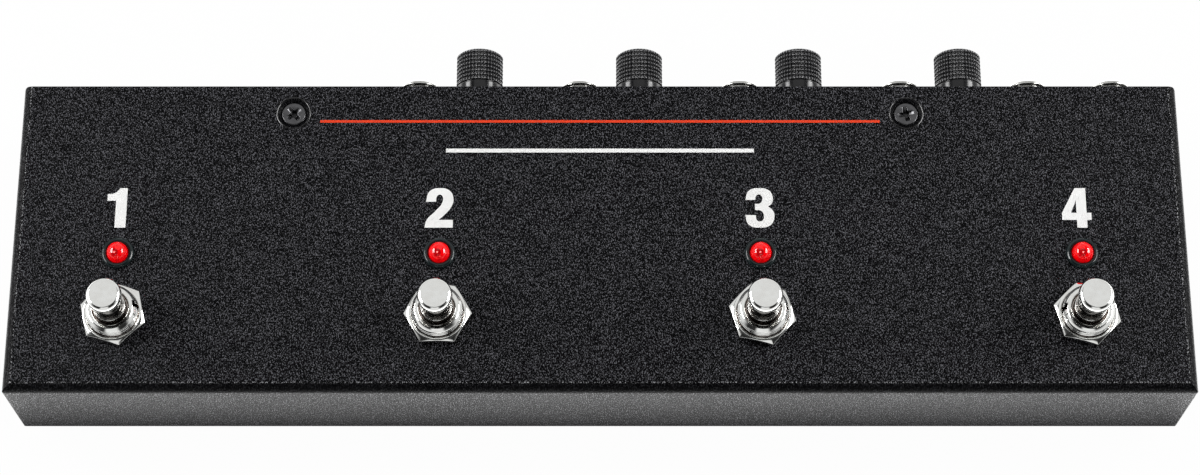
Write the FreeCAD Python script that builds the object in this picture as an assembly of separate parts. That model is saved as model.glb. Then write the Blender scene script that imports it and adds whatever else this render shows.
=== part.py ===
import FreeCAD, Part
import math
import os

# Four-channel foot selector for guitar amplifiers, in millimetres.
# X runs along the case, +Y towards the rear panel and +Z up. The origin is on the floor, under the
# middle of the whole part.

V = FreeCAD.Vector
up = V(0, 0, 1)

# Spacing along the case
channels = 4
switch_pitch = 76.2
end_margin = 25.4
channel_pitch = 39.55
socket_to_knob = 14.75
knob_to_input = 16.9
input_to_tuner = 20.6
tuner_margin = 13.4
power_margin = 21.7

# Folded steel case
case_depth = 77.2
case_height = 28.7
sheet = 1.2
bend_radius = 2.2
seam_radius = 0.5
tray_flange_reach = 12.0
rear_corner_radius = 1.0
panel_inset = 0.3
side_gap = 0.3
tab_width = 14.0
tab_reach = 10.0
tab_leg = 7.0
end_tab_back = 24.0

# Screws of the case and the board, all of one thread
thread_diameter = 3.0
screw_play = 0.1
hole_play = 0.35
boss_diameter = 5.8
boss_height = 1.6
cover_screw_spacing = 148.0
cover_screw_margin = 7.0
cover_head_diameter = 6.0
cover_head_rim = 0.25
dimple_diameter = 7.7
cover_screw_turns = (39.4, 13.0)
base_screw_margin = 30.0
base_screw_edge = 5.5
pan_head_diameter = 5.6
pan_head_height = 1.7
base_screw_reach = 4.5
recess_span = 3.5
recess_width = 0.9
recess_depth = 1.1

# Rubber feet
foot_height = 4.0
foot_diameter = 13.0
foot_taper = 0.8
foot_round = 0.8
foot_margin = 20.0
foot_screw_sink = 2.1
foot_screw_reach = 1.0

# Footswitches, measured from the top of the case
switch_back = 18.5
bushing_diameter = 12.0
bushing_stands = 5.8
bushing_chamfer = 0.8
bore_chamfer = 0.3
mouth_diameter = 8.4
mouth_depth = 0.7
thread_pitch = 1.0
groove_depth = 0.3
keyway_width = 1.65
keyway_depth = 0.75
keyway_turns = (12.0, 171.0, 4.5, 175.0)
nut_wall = 1.0
nut_height = 2.5
nut_turns = (43.5, 0.0, 47.0, 45.3)
washer_thickness = 0.6
washer_spare = 0.25
washer_teeth = 10
washer_notch = 1.2
inner_nut_height = 2.0
thread_spare = 1.0
thread_play = 0.05
shoulder_thickness = 1.5
plunger_diameter = 7.4
running_gap = 0.05
collar_stands = 7.0
collar_chamfer = 0.25
stem_diameter = 6.7
head_diameter = 8.2
head_height = 2.2
head_top = 15.8
head_round = 0.6
head_chamfer = 0.3
plunger_travel = 3.5
catch_diameter = 9.6
catch_height = 1.2
stop_gap = 0.1
prod_diameter = 3.8
contact_height = 0.6
contact_gap = 0.3
housing_side = 15.0
housing_round = 1.0
cavity_diameter = 11.0
housing_floor = 1.5
blade_spacing = 3.0
blade_width = 2.0
blade_thickness = 0.6
blade_play = 0.05
solder_reach = 1.2

# Return springs of the footswitches
spring_length = 8.0
spring_diameter = 6.0
spring_wire = 0.7
spring_turns = 5
spring_end_gap = 0.05

# Lamps and their bezels
lamp_back = 34.0
lamp_diameter = 5.0
lamp_stands = 3.4
lamp_flange_diameter = 5.8
lamp_flange_height = 1.0
lamp_body_length = 8.6
lead_spacing = 2.54
lead_side = 0.5
bezel_diameter = 7.7
bezel_height = 1.1
bezel_round = 0.5
bezel_barrel_diameter = 6.8
bezel_play = 0.05
bezel_barb = 0.25
bezel_barb_length = 0.9

# Rear panel parts, measured outwards from the panel
axis_drop = 14.3
knob_diameter = 11.5
knob_end = 14.5
knob_start = 2.8
skirt_end = 6.2
skirt_groove = 0.4
skirt_groove_depth = 0.35
flutes = 44
flute_depth = 0.35
knob_chamfer = 0.5
knob_recess_diameter = 7.8
knob_recess_end = 5.4
knob_bore_end = 12.4
pointer_width = 0.9
pointer_depth = 0.4
shaft_diameter = 6.0
shaft_end = 12.0
shaft_flat = 2.2
flat_start = 6.5
shaft_play = 0.03
pot_bushing_diameter = 7.0
pot_bushing_end = 4.6
pot_thread_pitch = 0.75
pot_groove_depth = 0.15
pot_nut_wall = 1.5
pot_nut_height = 2.0
pot_width = 9.8
pot_depth = 6.8
pot_wall = 1.0
rotor_diameter = 7.6
rotor_thickness = 1.0
rotor_gap = 0.2

socket_bore_diameter = 6.6
socket_thread_diameter = 9.52
socket_end = 6.6
socket_seat = 4.0
socket_round = 0.7
socket_groove_start = 4.7
socket_groove_end = 5.2
socket_groove_depth = 0.4
socket_thread_pitch = 0.8
socket_lead_in = 0.4
socket_nut_wall = 1.59
socket_nut_height = 2.4
jack_width = 15.0
jack_height = 15.0
jack_depth = 26.0
jack_bore_diameter = 7.0
jack_end_wall = 1.5
jack_round = 0.8
seat_play = 0.05

inlet_width = 9.0
inlet_depth = 13.0
inlet_rise = 4.5
inlet_nose_diameter = 9.0
inlet_nose_end = 0.6
inlet_hole_diameter = 5.6
inlet_hole_depth = 9.5
inlet_pin_diameter = 2.1
inlet_pin_inset = 0.8

# Boards and what sits on them
board_thickness = 1.6
board_gap = 1.0
board_side_gap = 6.0
switch_board_front = 4.0
lamp_margin = 4.0
switch_board_margin = 12.0
standoff_across = 5.0
strip_gap = 4.0
strip_margin = 6.0
relay_length = 15.0
relay_width = 7.4
relay_height = 9.6
relay_gap = 1.0
part_round = 0.5
transformer_pitch = 14.0
transformer_width = 11.0
transformer_height = 10.0
core_thickness = 4.0
core_drop = 1.0
transformer_from_panel = 8.0
ribbon_width = 12.7
ribbon_thickness = 0.9
ribbon_bend_radius = 6.0
ribbon_leg = 5.2
plug_length = 15.0
plug_thickness = 4.0
plug_height = 4.0
header_inset = 5.0

# Worked out from the sizes above
case_width = (channels - 1) * switch_pitch + 2 * end_margin
half_width = case_width / 2
front_y = -(case_depth - panel_inset + knob_end) / 2
rear_y = front_y + case_depth
panel_y = rear_y - panel_inset
case_low = foot_height
case_top = case_low + case_height
plate_top = case_low + sheet
axis_z = case_top - axis_drop
thread_radius = thread_diameter / 2
tapped_radius = thread_radius + screw_play
clear_radius = thread_radius + hole_play
cut_over = 1.0
nut_across = bushing_diameter + 2 * nut_wall
washer_diameter = nut_across + 2 * washer_spare
pot_nut_across = pot_bushing_diameter + 2 * pot_nut_wall
socket_nut_across = socket_thread_diameter + 2 * socket_nut_wall

switch_xs = [(place - (channels - 1) / 2) * switch_pitch for place in range(channels)]
tuner_x = half_width - tuner_margin
input_x = tuner_x - input_to_tuner
last_knob_x = input_x - knob_to_input
knob_xs = [last_knob_x - (channels - 1 - place) * channel_pitch for place in range(channels)]
output_xs = [x - socket_to_knob for x in knob_xs]
socket_xs = output_xs + [input_x, tuner_x]
power_x = -half_width + power_margin

# Levels inside a footswitch, down from the top of the case
shoulder_top = -(sheet + washer_thickness + inner_nut_height + thread_spare)
shoulder_low = shoulder_top - shoulder_thickness
catch_top = shoulder_low - stop_gap
catch_low = catch_top - catch_height
floor_top = catch_low - spring_length
housing_low = floor_top - housing_floor
prod_low = floor_top + contact_height + contact_gap + plunger_travel
switch_board_low = housing_low - board_thickness
lead_low = switch_board_low - solder_reach

# Levels and edges of the boards in the case
main_board_top = axis_z - jack_height / 2
main_board_low = main_board_top - board_thickness
panel_inside_y = panel_y - sheet
main_board_back_y = panel_inside_y - board_gap
strip_y = panel_inside_y - jack_depth - strip_gap
main_board_front_y = strip_y - strip_margin
switch_board_back_y = front_y + lamp_back + lamp_margin
switch_board_top_z = case_top + housing_low
standoff_xs = [power_x, knob_xs[0], knob_xs[2], tuner_x]
ribbon_x = (power_x + output_xs[0]) / 2


# A straight block between two corners.
def block(x_low, x_high, y_low, y_high, z_low, z_high):
    return Part.makeBox(x_high - x_low, y_high - y_low, z_high - z_low, V(x_low, y_low, z_low))


def cylinder(diameter, z_low, z_high, x=0, y=0):
    return Part.makeCylinder(diameter / 2, z_high - z_low, V(x, y, z_low))


# What is cut from a sheet whose outer face is at Z 0, for a round piece with some play.
def sheet_hole(diameter, play):
    return cylinder(diameter + 2 * play, -sheet - cut_over, cut_over)


# A solid turned about Z. Each point is (radius, z), and two more values put the middle of an arc before it.
def turned(points):
    edges = []
    start = V(points[0][0], 0, points[0][1])
    for point in points[1:] + [points[0][:2]]:
        end = V(point[0], 0, point[1])
        if len(point) == 4:
            edges.append(Part.Arc(start, V(point[2], 0, point[3]), end).toShape())
        else:
            edges.append(Part.makeLine(start, end))
        start = end
    return Part.Face(Part.Wire(edges)).revolve(V(0, 0, 0), up, 360)


# Two outline points that round off an outer upper edge.
def rounded_rim(radius, z, size):
    inside = radius - size
    level = z - size
    reach = size * math.sqrt(0.5)
    return [(radius, level), (inside, z, inside + reach, level + reach)]


# Outline points of a thread drawn as rings, from one height up to another.
def thread_points(diameter, pitch, depth, z_low, z_high):
    rings = int((z_high - z_low) / pitch)
    points = [(diameter / 2, z_low)]
    for ring in range(rings):
        z = z_low + ring * pitch
        points.append((diameter / 2 - depth, z + pitch / 2))
        points.append((diameter / 2, z + pitch))
    if z_high - points[-1][1] > pitch / 100:
        points.append((diameter / 2, z_high))
    return points


def hexagon(across, z_low, z_high):
    corner = across / 2 / math.cos(math.pi / 6)
    angles = [side * math.pi / 3 for side in range(7)]
    points = [V(corner * math.cos(angle), corner * math.sin(angle), z_low) for angle in angles]
    return Part.Face(Part.makePolygon(points)).extrude(V(0, 0, z_high - z_low))


# A hexagon nut whose corners are turned down on the upper face.
def nut(across, bore, z_low, z_high):
    corner = across / 2 / math.cos(math.pi / 6)
    drop = (corner - across / 2) * math.tan(math.pi / 6)
    crown = turned([
        (0, z_low),
        (corner, z_low),
        (corner, z_high - drop),
        (across / 2, z_high),
        (0, z_high),
    ])
    hole = cylinder(bore, z_low - cut_over, z_high + cut_over)
    return hexagon(across, z_low, z_high).common(crown).cut(hole)


def turned_by(shape, degrees):
    copy = shape.copy()
    copy.rotate(V(0, 0, 0), up, degrees)
    return copy


def moved(shape, x, y, z):
    copy = shape.copy()
    copy.translate(V(x, y, z))
    return copy


# Seats a piece that is drawn up from the top of the case.
def on_top(shape, x, back):
    return moved(shape, x, front_y + back, case_top)


# Seats a piece that is drawn outwards from the rear panel: its +Z turns to +Y and its +Y points down.
def on_panel(shape, x):
    copy = shape.copy()
    copy.rotate(V(0, 0, 0), V(1, 0, 0), -90)
    return moved(copy, x, panel_y, axis_z)


def rounded(shape, radius, wanted):
    return shape.makeFillet(radius, [edge for edge in shape.Edges if wanted(edge.CenterOfMass)])


# A cross recess that tapers downwards, to be cut from a screw head whose top is at Z 0.
def cross_recess(degrees):
    half = recess_span / 2
    tip = recess_width / 2
    outline = [V(-half, -recess_width / 2, 0), V(half, -recess_width / 2, 0)]
    outline += [V(tip, -recess_width / 2, -recess_depth), V(-tip, -recess_width / 2, -recess_depth)]
    arm = Part.Face(Part.makePolygon(outline + outline[:1])).extrude(V(0, recess_width, 0))
    return turned_by(arm.fuse(turned_by(arm, 90)), degrees)


def pan_screw(reach, degrees=0):
    head = pan_head_diameter / 2
    crown = pan_head_height / 2
    screw = turned([
        (0, -reach),
        (thread_radius - screw_play, -reach),
        (thread_radius, -reach + screw_play),
        (thread_radius, 0),
        (head, 0),
        (head, crown),
        (head - crown, pan_head_height, head - crown * (1 - math.sqrt(0.5)), crown * (1 + math.sqrt(0.5))),
        (0, pan_head_height),
    ])
    return screw.cut(moved(cross_recess(degrees), 0, 0, pan_head_height))


def upside_down(shape):
    copy = shape.copy()
    copy.rotate(V(0, 0, 0), V(1, 0, 0), 180)
    return copy


# The places of everything that is repeated over the case
def cover_screw_places():
    return [(side * cover_screw_spacing / 2, rear_y - cover_screw_margin) for side in (-1, 1)]


# Where the cover's tabs stand: a point on the inside of a wall, and how far the tab is turned from it.
def tab_places():
    front_x = half_width - base_screw_margin
    end_x = half_width - sheet
    row = front_y + sheet
    end_y = front_y + end_tab_back
    front_row = [(x, row, 0) for x in (-front_x, 0, front_x)]
    return front_row + [(-end_x, end_y, -90), (end_x, end_y, 90)]


def base_screw_places():
    places = []
    for x, y, turn in tab_places():
        inwards = V(0, base_screw_edge, 0)
        inwards = FreeCAD.Rotation(up, turn).multVec(inwards)
        places.append((x + inwards.x, y + inwards.y))
    return places


def foot_places():
    x = half_width - foot_margin
    return [(side * x, y) for y in (front_y + foot_margin, rear_y - foot_margin) for side in (-1, 1)]


# The dimple and the tapped hole of a cover screw, through the cover and the flange under it.
def cover_screw_hole():
    wide = dimple_diameter / 2
    return turned([
        (0, cut_over),
        (wide, cut_over),
        (wide, 0),
        (tapped_radius, tapped_radius - wide),
        (tapped_radius, -(2 * sheet + boss_height + cut_over)),
        (0, -(2 * sheet + boss_height + cut_over)),
    ])


def cover_screw(degrees):
    sink = (dimple_diameter - cover_head_diameter) / 2 - screw_play
    head = cover_head_diameter / 2
    reach = 2 * sheet + boss_height + screw_play
    screw = turned([
        (0, -reach),
        (thread_radius - screw_play, -reach),
        (thread_radius, -reach + screw_play),
        (thread_radius, -sink - (head - thread_radius)),
        (head, -sink),
        (head - cover_head_rim, -sink + cover_head_rim),
        (0, -sink + cover_head_rim),
    ])
    return screw.cut(moved(cross_recess(degrees), 0, 0, -sink + cover_head_rim))


# The case: a cover with top, front and ends, and a tray with bottom, rear panel and upper flange
# A block with the cover's outer form, or its inner form with an inset of one sheet.
def cover_block(inset, z_low, y_high):
    x = half_width - inset
    y = front_y + inset
    plain = block(-x, x, y, y_high, z_low, case_top - inset)
    radius = bend_radius - inset
    front = rounded(plain, radius, lambda at: at.z > case_top - sheet - inset and at.y < y + sheet)
    ends = rounded(plain, radius, lambda at: at.z > case_top - sheet - inset and abs(at.x) > x - sheet)
    return front.common(ends)


def top_cover():
    seams = rounded(
        block(-half_width, half_width, front_y, rear_y, case_low, case_top),
        seam_radius,
        lambda at: at.y < front_y + sheet and abs(at.x) > half_width - sheet)
    cover = cover_block(0, case_low, rear_y).common(seams)
    cover = cover.cut(cover_block(sheet, case_low - cut_over, rear_y + cut_over))
    for x, y, turn in tab_places():
        cover = cover.fuse(moved(turned_by(tab(), turn), x, y, plate_top))
    for x in switch_xs:
        cover = cover.cut(on_top(sheet_hole(bushing_diameter, screw_play), x, switch_back))
        cover = cover.cut(on_top(sheet_hole(bezel_barrel_diameter, bezel_play), x, lamp_back))
    for x, y in cover_screw_places():
        cover = cover.cut(moved(cover_screw_hole(), x, y, case_top))
    for side in (-1, 1):
        cover = cover.cut(rear_corner(side))
    return cover.removeSplitter()


# An angle tab spot-welded inside a wall, which one base screw bites into. The wall is at Y 0.
def tab():
    half = tab_width / 2
    pad = block(-half, half, 0, tab_reach, 0, sheet)
    leg = block(-half, half, 0, sheet, 0, tab_leg)
    boss = cylinder(boss_diameter, sheet, sheet + boss_height, 0, base_screw_edge)
    hole = cylinder(2 * tapped_radius, -cut_over, sheet + boss_height + cut_over, 0, base_screw_edge)
    return pad.fuse(leg).fuse(boss).cut(hole)


# What is ground off a rear corner of the cover, in plan.
def rear_corner(side):
    size = rear_corner_radius
    x = side * (half_width - size)
    low, high = sorted((x, x + side * size))
    square = block(low, high, rear_y - size, rear_y, case_low, case_top)
    return square.cut(cylinder(2 * size, case_low, case_top, x, rear_y - size))


def base_tray():
    tray_half = half_width - sheet - side_gap
    tray_top = case_top - sheet
    front = front_y + sheet + side_gap
    outer = block(-tray_half, tray_half, front, panel_y, case_low, tray_top)
    outer = rounded(outer, bend_radius, lambda at: at.y > panel_inside_y and abs(at.x) < sheet)
    inner = block(-half_width, half_width, front_y, panel_inside_y, plate_top, tray_top - sheet)
    inner_radius = bend_radius - sheet
    inner = rounded(inner, inner_radius, lambda at: at.y > panel_inside_y - sheet and abs(at.x) < sheet)
    tray = outer.cut(inner)
    flange_y = panel_y - tray_flange_reach
    tray = tray.cut(block(-half_width, half_width, front_y, flange_y, plate_top + sheet, case_top))
    corner_x = half_width - bend_radius - side_gap
    corner_z = case_top - bend_radius - side_gap
    for side in (-1, 1):
        low, high = sorted((side * corner_x, side * half_width))
        tray = tray.cut(block(low, high, flange_y - cut_over, rear_y, corner_z, case_top))
    for x, y in cover_screw_places():
        tray = tray.fuse(cylinder(boss_diameter, tray_top - sheet - boss_height, tray_top - sheet, x, y))
        tray = tray.cut(moved(cover_screw_hole(), x, y, case_top))
    return tray.cut(tray_holes()).removeSplitter()


def tray_holes():
    holes = []
    for x, y in base_screw_places():
        holes.append(cylinder(2 * clear_radius, case_low - cut_over, plate_top + cut_over, x, y))
    for x, y in foot_places():
        holes.append(cylinder(2 * tapped_radius, case_low - cut_over, plate_top + cut_over, x, y))
    holes += [on_panel(sheet_hole(pot_bushing_diameter, screw_play), x) for x in knob_xs]
    holes += [on_panel(sheet_hole(socket_thread_diameter, screw_play), x) for x in socket_xs]
    nose = sheet_hole(inlet_nose_diameter, screw_play)
    holes.append(on_panel(moved(nose, 0, jack_height / 2 - inlet_rise, 0), power_x))
    return Part.makeCompound(holes)


def cover_screws():
    places = cover_screw_places()
    return [moved(cover_screw(turn), x, y, case_top) for (x, y), turn in zip(places, cover_screw_turns)]


def base_screws():
    screw = upside_down(pan_screw(base_screw_reach))
    return [moved(screw, x, y, case_low) for x, y in base_screw_places()]


def rubber_feet():
    wide = foot_diameter / 2
    low = wide - foot_taper
    head = pan_head_diameter / 2 + hole_play
    foot = turned([
        (head, 0),
        (low - foot_round, 0),
        (low, foot_round, low - foot_round * (1 - math.sqrt(0.5)), foot_round * (1 - math.sqrt(0.5))),
        (wide, foot_height),
        (clear_radius, foot_height),
        (clear_radius, foot_screw_sink),
        (head, foot_screw_sink),
    ])
    return [moved(foot, x, y, 0) for x, y in foot_places()]


def foot_screws():
    reach = foot_height - foot_screw_sink + sheet + foot_screw_reach
    screw = upside_down(pan_screw(reach))
    return [moved(screw, x, y, foot_screw_sink) for x, y in foot_places()]


# Footswitches, drawn up from the top of the case
def switch_bushing(degrees):
    outer = bushing_diameter / 2
    bore = plunger_diameter / 2 + running_gap
    mouth = mouth_diameter / 2
    rings = thread_points(
        bushing_diameter, thread_pitch, groove_depth, shoulder_top, bushing_stands - bushing_chamfer)
    bushing = turned([(bore, shoulder_low), (outer, shoulder_low)] + rings + [
        (outer - bushing_chamfer, bushing_stands),
        (mouth + bore_chamfer, bushing_stands),
        (mouth, bushing_stands - bore_chamfer),
        (mouth, bushing_stands - mouth_depth),
        (bore, bushing_stands - mouth_depth),
    ])
    keyway = block(
        outer - keyway_depth, outer + cut_over,
        -keyway_width / 2, keyway_width / 2,
        shoulder_top, bushing_stands + cut_over)
    bushing = turned_by(bushing.cut(keyway), degrees)
    half = housing_side / 2
    shoulder = rounded(
        block(-half, half, -half, half, shoulder_low, shoulder_top),
        housing_round,
        lambda at: abs(at.x) > half - housing_round and abs(at.y) > half - housing_round)
    shoulder = shoulder.cut(cylinder(2 * bore, shoulder_low - cut_over, shoulder_top + cut_over))
    return bushing.fuse(shoulder).removeSplitter()


def switch_plunger():
    guide = plunger_diameter / 2
    stem = stem_diameter / 2
    head = head_diameter / 2
    head_low = head_top - head_height
    return turned([
        (0, prod_low),
        (prod_diameter / 2, prod_low),
        (prod_diameter / 2, catch_low),
        (catch_diameter / 2, catch_low),
        (catch_diameter / 2, catch_top),
        (guide, catch_top),
        (guide, collar_stands - collar_chamfer),
        (guide - collar_chamfer, collar_stands),
        (stem, collar_stands),
        (stem, head_low),
        (head - head_chamfer, head_low),
        (head, head_low + head_chamfer),
    ] + rounded_rim(head, head_top, head_round) + [(0, head_top)])


def switch_housing():
    half = housing_side / 2
    body = rounded(
        block(-half, half, -half, half, housing_low, shoulder_low),
        housing_round,
        lambda at: abs(at.x) > half - housing_round and abs(at.y) > half - housing_round)
    body = body.cut(cylinder(cavity_diameter, floor_top, shoulder_low + cut_over))
    for side in (-1, 1):
        body = body.cut(contact_blade(side, blade_play))
    return body


# One contact blade, or with play the slot that it stands in.
def contact_blade(side, play=0):
    x = side * blade_spacing / 2
    return block(
        x - blade_thickness / 2 - play, x + blade_thickness / 2 + play,
        -blade_width / 2 - play, blade_width / 2 + play,
        lead_low, floor_top + contact_height)


def lock_washer():
    washer = cylinder(washer_diameter, -sheet - washer_thickness, -sheet)
    washer = washer.cut(cylinder(bushing_diameter + 2 * thread_play, -sheet - washer_thickness, -sheet))
    notch = block(
        (washer_diameter - washer_notch) / 2, washer_diameter / 2 + cut_over,
        -washer_notch / 2, washer_notch / 2,
        -sheet - washer_thickness, -sheet)
    for tooth in range(washer_teeth):
        washer = washer.cut(turned_by(notch, tooth * 360 / washer_teeth))
    return washer


# The return spring: a round wire wound up from the floor of the housing
def helix_point(turn):
    angle = 2 * math.pi * turn
    radius = spring_diameter / 2
    return V(radius * math.cos(angle), radius * math.sin(angle), turn * spring_rise())


def helix_heading(turn):
    angle = 2 * math.pi * turn
    girth = math.pi * spring_diameter
    heading = V(-girth * math.sin(angle), girth * math.cos(angle), spring_rise())
    return heading.normalize()


def spring_rise():
    return (spring_length - spring_wire - 2 * spring_end_gap) / spring_turns


# The arc that leaves a point along a heading and ends at another point.
def arc_from(start, heading, end):
    chord = end - start
    way = V(chord).normalize()
    middle_way = (heading + way).normalize()
    reach = chord.Length / 2 / middle_way.dot(way)
    return Part.Arc(start, start + middle_way * reach, end).toShape()


# Two arcs that meet smoothly and follow the headings at both ends.
def biarc(start, heading, end, end_heading):
    gap = end - start
    total = heading + end_heading
    bend = 2 * (1 - heading.dot(end_heading))
    along = gap.dot(total)
    reach = (math.sqrt(along * along + bend * gap.dot(gap)) - along) / bend
    joint = (start + end + (heading - end_heading) * reach) * 0.5
    first = arc_from(start, heading, joint)
    second = arc_from(end, end_heading * -1, joint)
    return [first, second]


def switch_spring():
    edges = []
    quarters = 4 * spring_turns
    for step in range(quarters):
        here = step / 4
        there = (step + 1) / 4
        edges += biarc(helix_point(here), helix_heading(here), helix_point(there), helix_heading(there))
    path = Part.Wire(Part.__sortEdges__(edges))
    section = Part.Wire(Part.Circle(helix_point(0), helix_heading(0), spring_wire / 2).toShape())
    spring = path.makePipeShell([section], True, False)
    return moved(spring, 0, 0, floor_top + spring_wire / 2 + spring_end_gap)


# Lamps and bezels, drawn up from the top of the case
def lamp():
    radius = lamp_diameter / 2
    flange = lamp_flange_diameter / 2
    low = lamp_stands - lamp_body_length
    dome_z = lamp_stands - radius
    glass = turned([
        (0, low),
        (flange, low),
        (flange, low + lamp_flange_height),
        (radius, low + lamp_flange_height),
        (radius, dome_z),
        (0, lamp_stands, radius * math.sqrt(0.5), dome_z + radius * math.sqrt(0.5)),
    ])
    half = lead_side / 2
    for side in (-1, 1):
        x = side * lead_spacing / 2
        glass = glass.fuse(block(x - half, x + half, -half, half, lead_low, low + half))
    return glass


def lamp_bezel():
    bore = lamp_diameter / 2 + bezel_play
    seat = lamp_flange_diameter / 2 + bezel_play
    rim = bezel_diameter / 2
    barrel = bezel_barrel_diameter / 2
    flange_low = lamp_stands - lamp_body_length
    flange_top = flange_low + lamp_flange_height + bezel_play
    barb_top = -sheet - bezel_play
    return turned([
        (seat, flange_low),
        (barrel, flange_low),
        (barrel, barb_top - bezel_barb_length),
        (barrel + bezel_barb, barb_top),
        (barrel, barb_top),
        (barrel, 0),
        (rim, 0),
    ] + rounded_rim(rim, bezel_height, bezel_round) + [
        (bore, bezel_height),
        (bore, flange_top),
        (seat, flange_top),
    ])


# Rear parts, drawn outwards from the rear panel
# A round bar with one flat, from one height to another.
def flatted(diameter, flat, z_low, z_high):
    bar = cylinder(diameter, z_low, z_high)
    return bar.cut(block(flat, diameter, -diameter, diameter, z_low, z_high))


def fluted_bar(diameter, depth, count, z_low, z_high):
    points = []
    for step in range(2 * count + 1):
        angle = math.pi * step / count
        radius = diameter / 2 - depth * (step % 2)
        points.append(V(radius * math.cos(angle), radius * math.sin(angle), z_low))
    return Part.Face(Part.makePolygon(points)).extrude(V(0, 0, z_high - z_low))


def knob():
    outer = knob_diameter / 2
    skirt = cylinder(knob_diameter, knob_start, skirt_end - skirt_groove)
    neck = cylinder(knob_diameter - 2 * skirt_groove_depth, skirt_end - skirt_groove, skirt_end)
    grip = fluted_bar(knob_diameter, flute_depth, flutes, skirt_end, knob_end)
    end = turned([
        (0, skirt_end),
        (outer, skirt_end),
        (outer, knob_end - knob_chamfer),
        (outer - knob_chamfer, knob_end),
        (0, knob_end),
    ])
    body = skirt.fuse(neck).fuse(grip.common(end))
    body = body.cut(cylinder(knob_recess_diameter, knob_start, knob_recess_end))
    bore = shaft_diameter + 2 * shaft_play
    body = body.cut(cylinder(bore, knob_recess_end, flat_start))
    body = body.cut(flatted(bore, shaft_flat + shaft_play, flat_start, knob_bore_end))
    pointer = block(
        -pointer_width / 2, pointer_width / 2, -outer, 0, knob_end - pointer_depth, knob_end)
    return body.cut(pointer).removeSplitter()


# Levels inside a potentiometer, down from the outside of the panel
rotor_cavity_top = -sheet - pot_wall
rotor_top = rotor_cavity_top - rotor_gap
rotor_low = rotor_top - rotor_thickness


def pot_shaft():
    turn = cylinder(shaft_diameter, rotor_top, flat_start)
    end = flatted(shaft_diameter, shaft_flat, flat_start, shaft_end)
    rotor = cylinder(rotor_diameter, rotor_low, rotor_top)
    return turn.fuse(end).fuse(rotor).removeSplitter()


def pot():
    half = pot_width / 2
    body = block(-half, half, -half, jack_height / 2, -sheet - pot_depth, -sheet)
    body = rounded(body, part_round, lambda at: at.z < -sheet - pot_depth + part_round and at.y < half)
    outer = pot_bushing_diameter / 2
    rings = thread_points(pot_bushing_diameter, pot_thread_pitch, pot_groove_depth, 0, pot_bushing_end)
    bushing = turned([(0, -sheet), (outer, -sheet)] + rings + [(0, pot_bushing_end)])
    bore = cylinder(shaft_diameter + 2 * running_gap, rotor_cavity_top, pot_bushing_end)
    cavity = cylinder(rotor_diameter + 2 * rotor_gap, rotor_low - rotor_gap, rotor_cavity_top)
    return body.fuse(bushing).cut(bore).cut(cavity).removeSplitter()


# The bright threaded sleeve of a socket, with a smooth nose beyond a groove.
def jack_sleeve():
    bore = socket_bore_diameter / 2
    outer = socket_thread_diameter / 2
    neck = outer - socket_groove_depth
    rings = thread_points(
        socket_thread_diameter, socket_thread_pitch, pot_groove_depth, 0, socket_groove_start)
    return turned([(bore, -sheet - socket_seat), (outer, -sheet - socket_seat)] + rings + [
        (neck, socket_groove_start),
        (neck, socket_groove_end),
        (outer, socket_groove_end),
    ] + rounded_rim(outer, socket_end, socket_round) + [
        (bore + socket_lead_in, socket_end),
        (bore, socket_end - socket_lead_in),
    ])


def jack():
    half = jack_width / 2
    body = block(-half, half, -jack_height / 2, jack_height / 2, -sheet - jack_depth, -sheet)
    body = rounded(body, jack_round, lambda at: abs(at.x) > half - jack_round and at.y < 0)
    seat = cylinder(socket_thread_diameter + 2 * seat_play, -sheet - socket_seat, -sheet)
    bore = cylinder(jack_bore_diameter, -sheet - jack_depth + jack_end_wall, -sheet)
    return body.cut(seat).cut(bore)


def power_inlet():
    half = inlet_width / 2
    body = block(-half, half, -half, inlet_rise, -sheet - inlet_depth, -sheet)
    nose = cylinder(inlet_nose_diameter, -sheet, inlet_nose_end)
    hole = cylinder(inlet_hole_diameter, inlet_nose_end - inlet_hole_depth, inlet_nose_end)
    pin = cylinder(inlet_pin_diameter, inlet_nose_end - inlet_hole_depth, inlet_nose_end - inlet_pin_inset)
    inlet = body.fuse(nose).cut(hole).fuse(pin)
    return moved(inlet, 0, jack_height / 2 - inlet_rise, 0)


# Boards, and what stands on them
def main_board():
    half = half_width - board_side_gap
    board = block(-half, half, main_board_front_y, main_board_back_y, main_board_low, main_board_top)
    for x in standoff_xs:
        hole = cylinder(2 * clear_radius, main_board_low - cut_over, main_board_top + cut_over, x, strip_y)
        board = board.cut(hole)
    return board


def standoffs():
    post = hexagon(standoff_across, plate_top, main_board_low)
    post = post.cut(cylinder(2 * tapped_radius, plate_top, main_board_low))
    return [moved(post, x, strip_y, 0) for x in standoff_xs]


def board_screws():
    reach = board_thickness + (main_board_low - plate_top) / 2
    return [moved(pan_screw(reach), x, strip_y, main_board_top) for x in standoff_xs]


def switch_board():
    x = switch_xs[-1] + switch_board_margin
    low = case_top + switch_board_low
    board = block(
        -x, x, front_y + switch_board_front, switch_board_back_y, low, switch_board_top_z)
    slots = []
    for switch_x in switch_xs:
        slots += [on_top(contact_blade(side, blade_play), switch_x, switch_back) for side in (-1, 1)]
        hole = cylinder(2 * lead_side, switch_board_low - cut_over, housing_low + cut_over)
        slots += [on_top(hole, switch_x + side * lead_spacing / 2, lamp_back) for side in (-1, 1)]
    return board.cut(Part.makeCompound(slots))


def relays():
    half = relay_width / 2
    back = panel_inside_y - pot_depth - relay_gap
    relay = block(-half, half, back - relay_length, back, main_board_top, main_board_top + relay_height)
    relay = rounded(relay, part_round, lambda at: at.z > main_board_top)
    return [moved(relay, x, 0, 0) for x in knob_xs]


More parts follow.
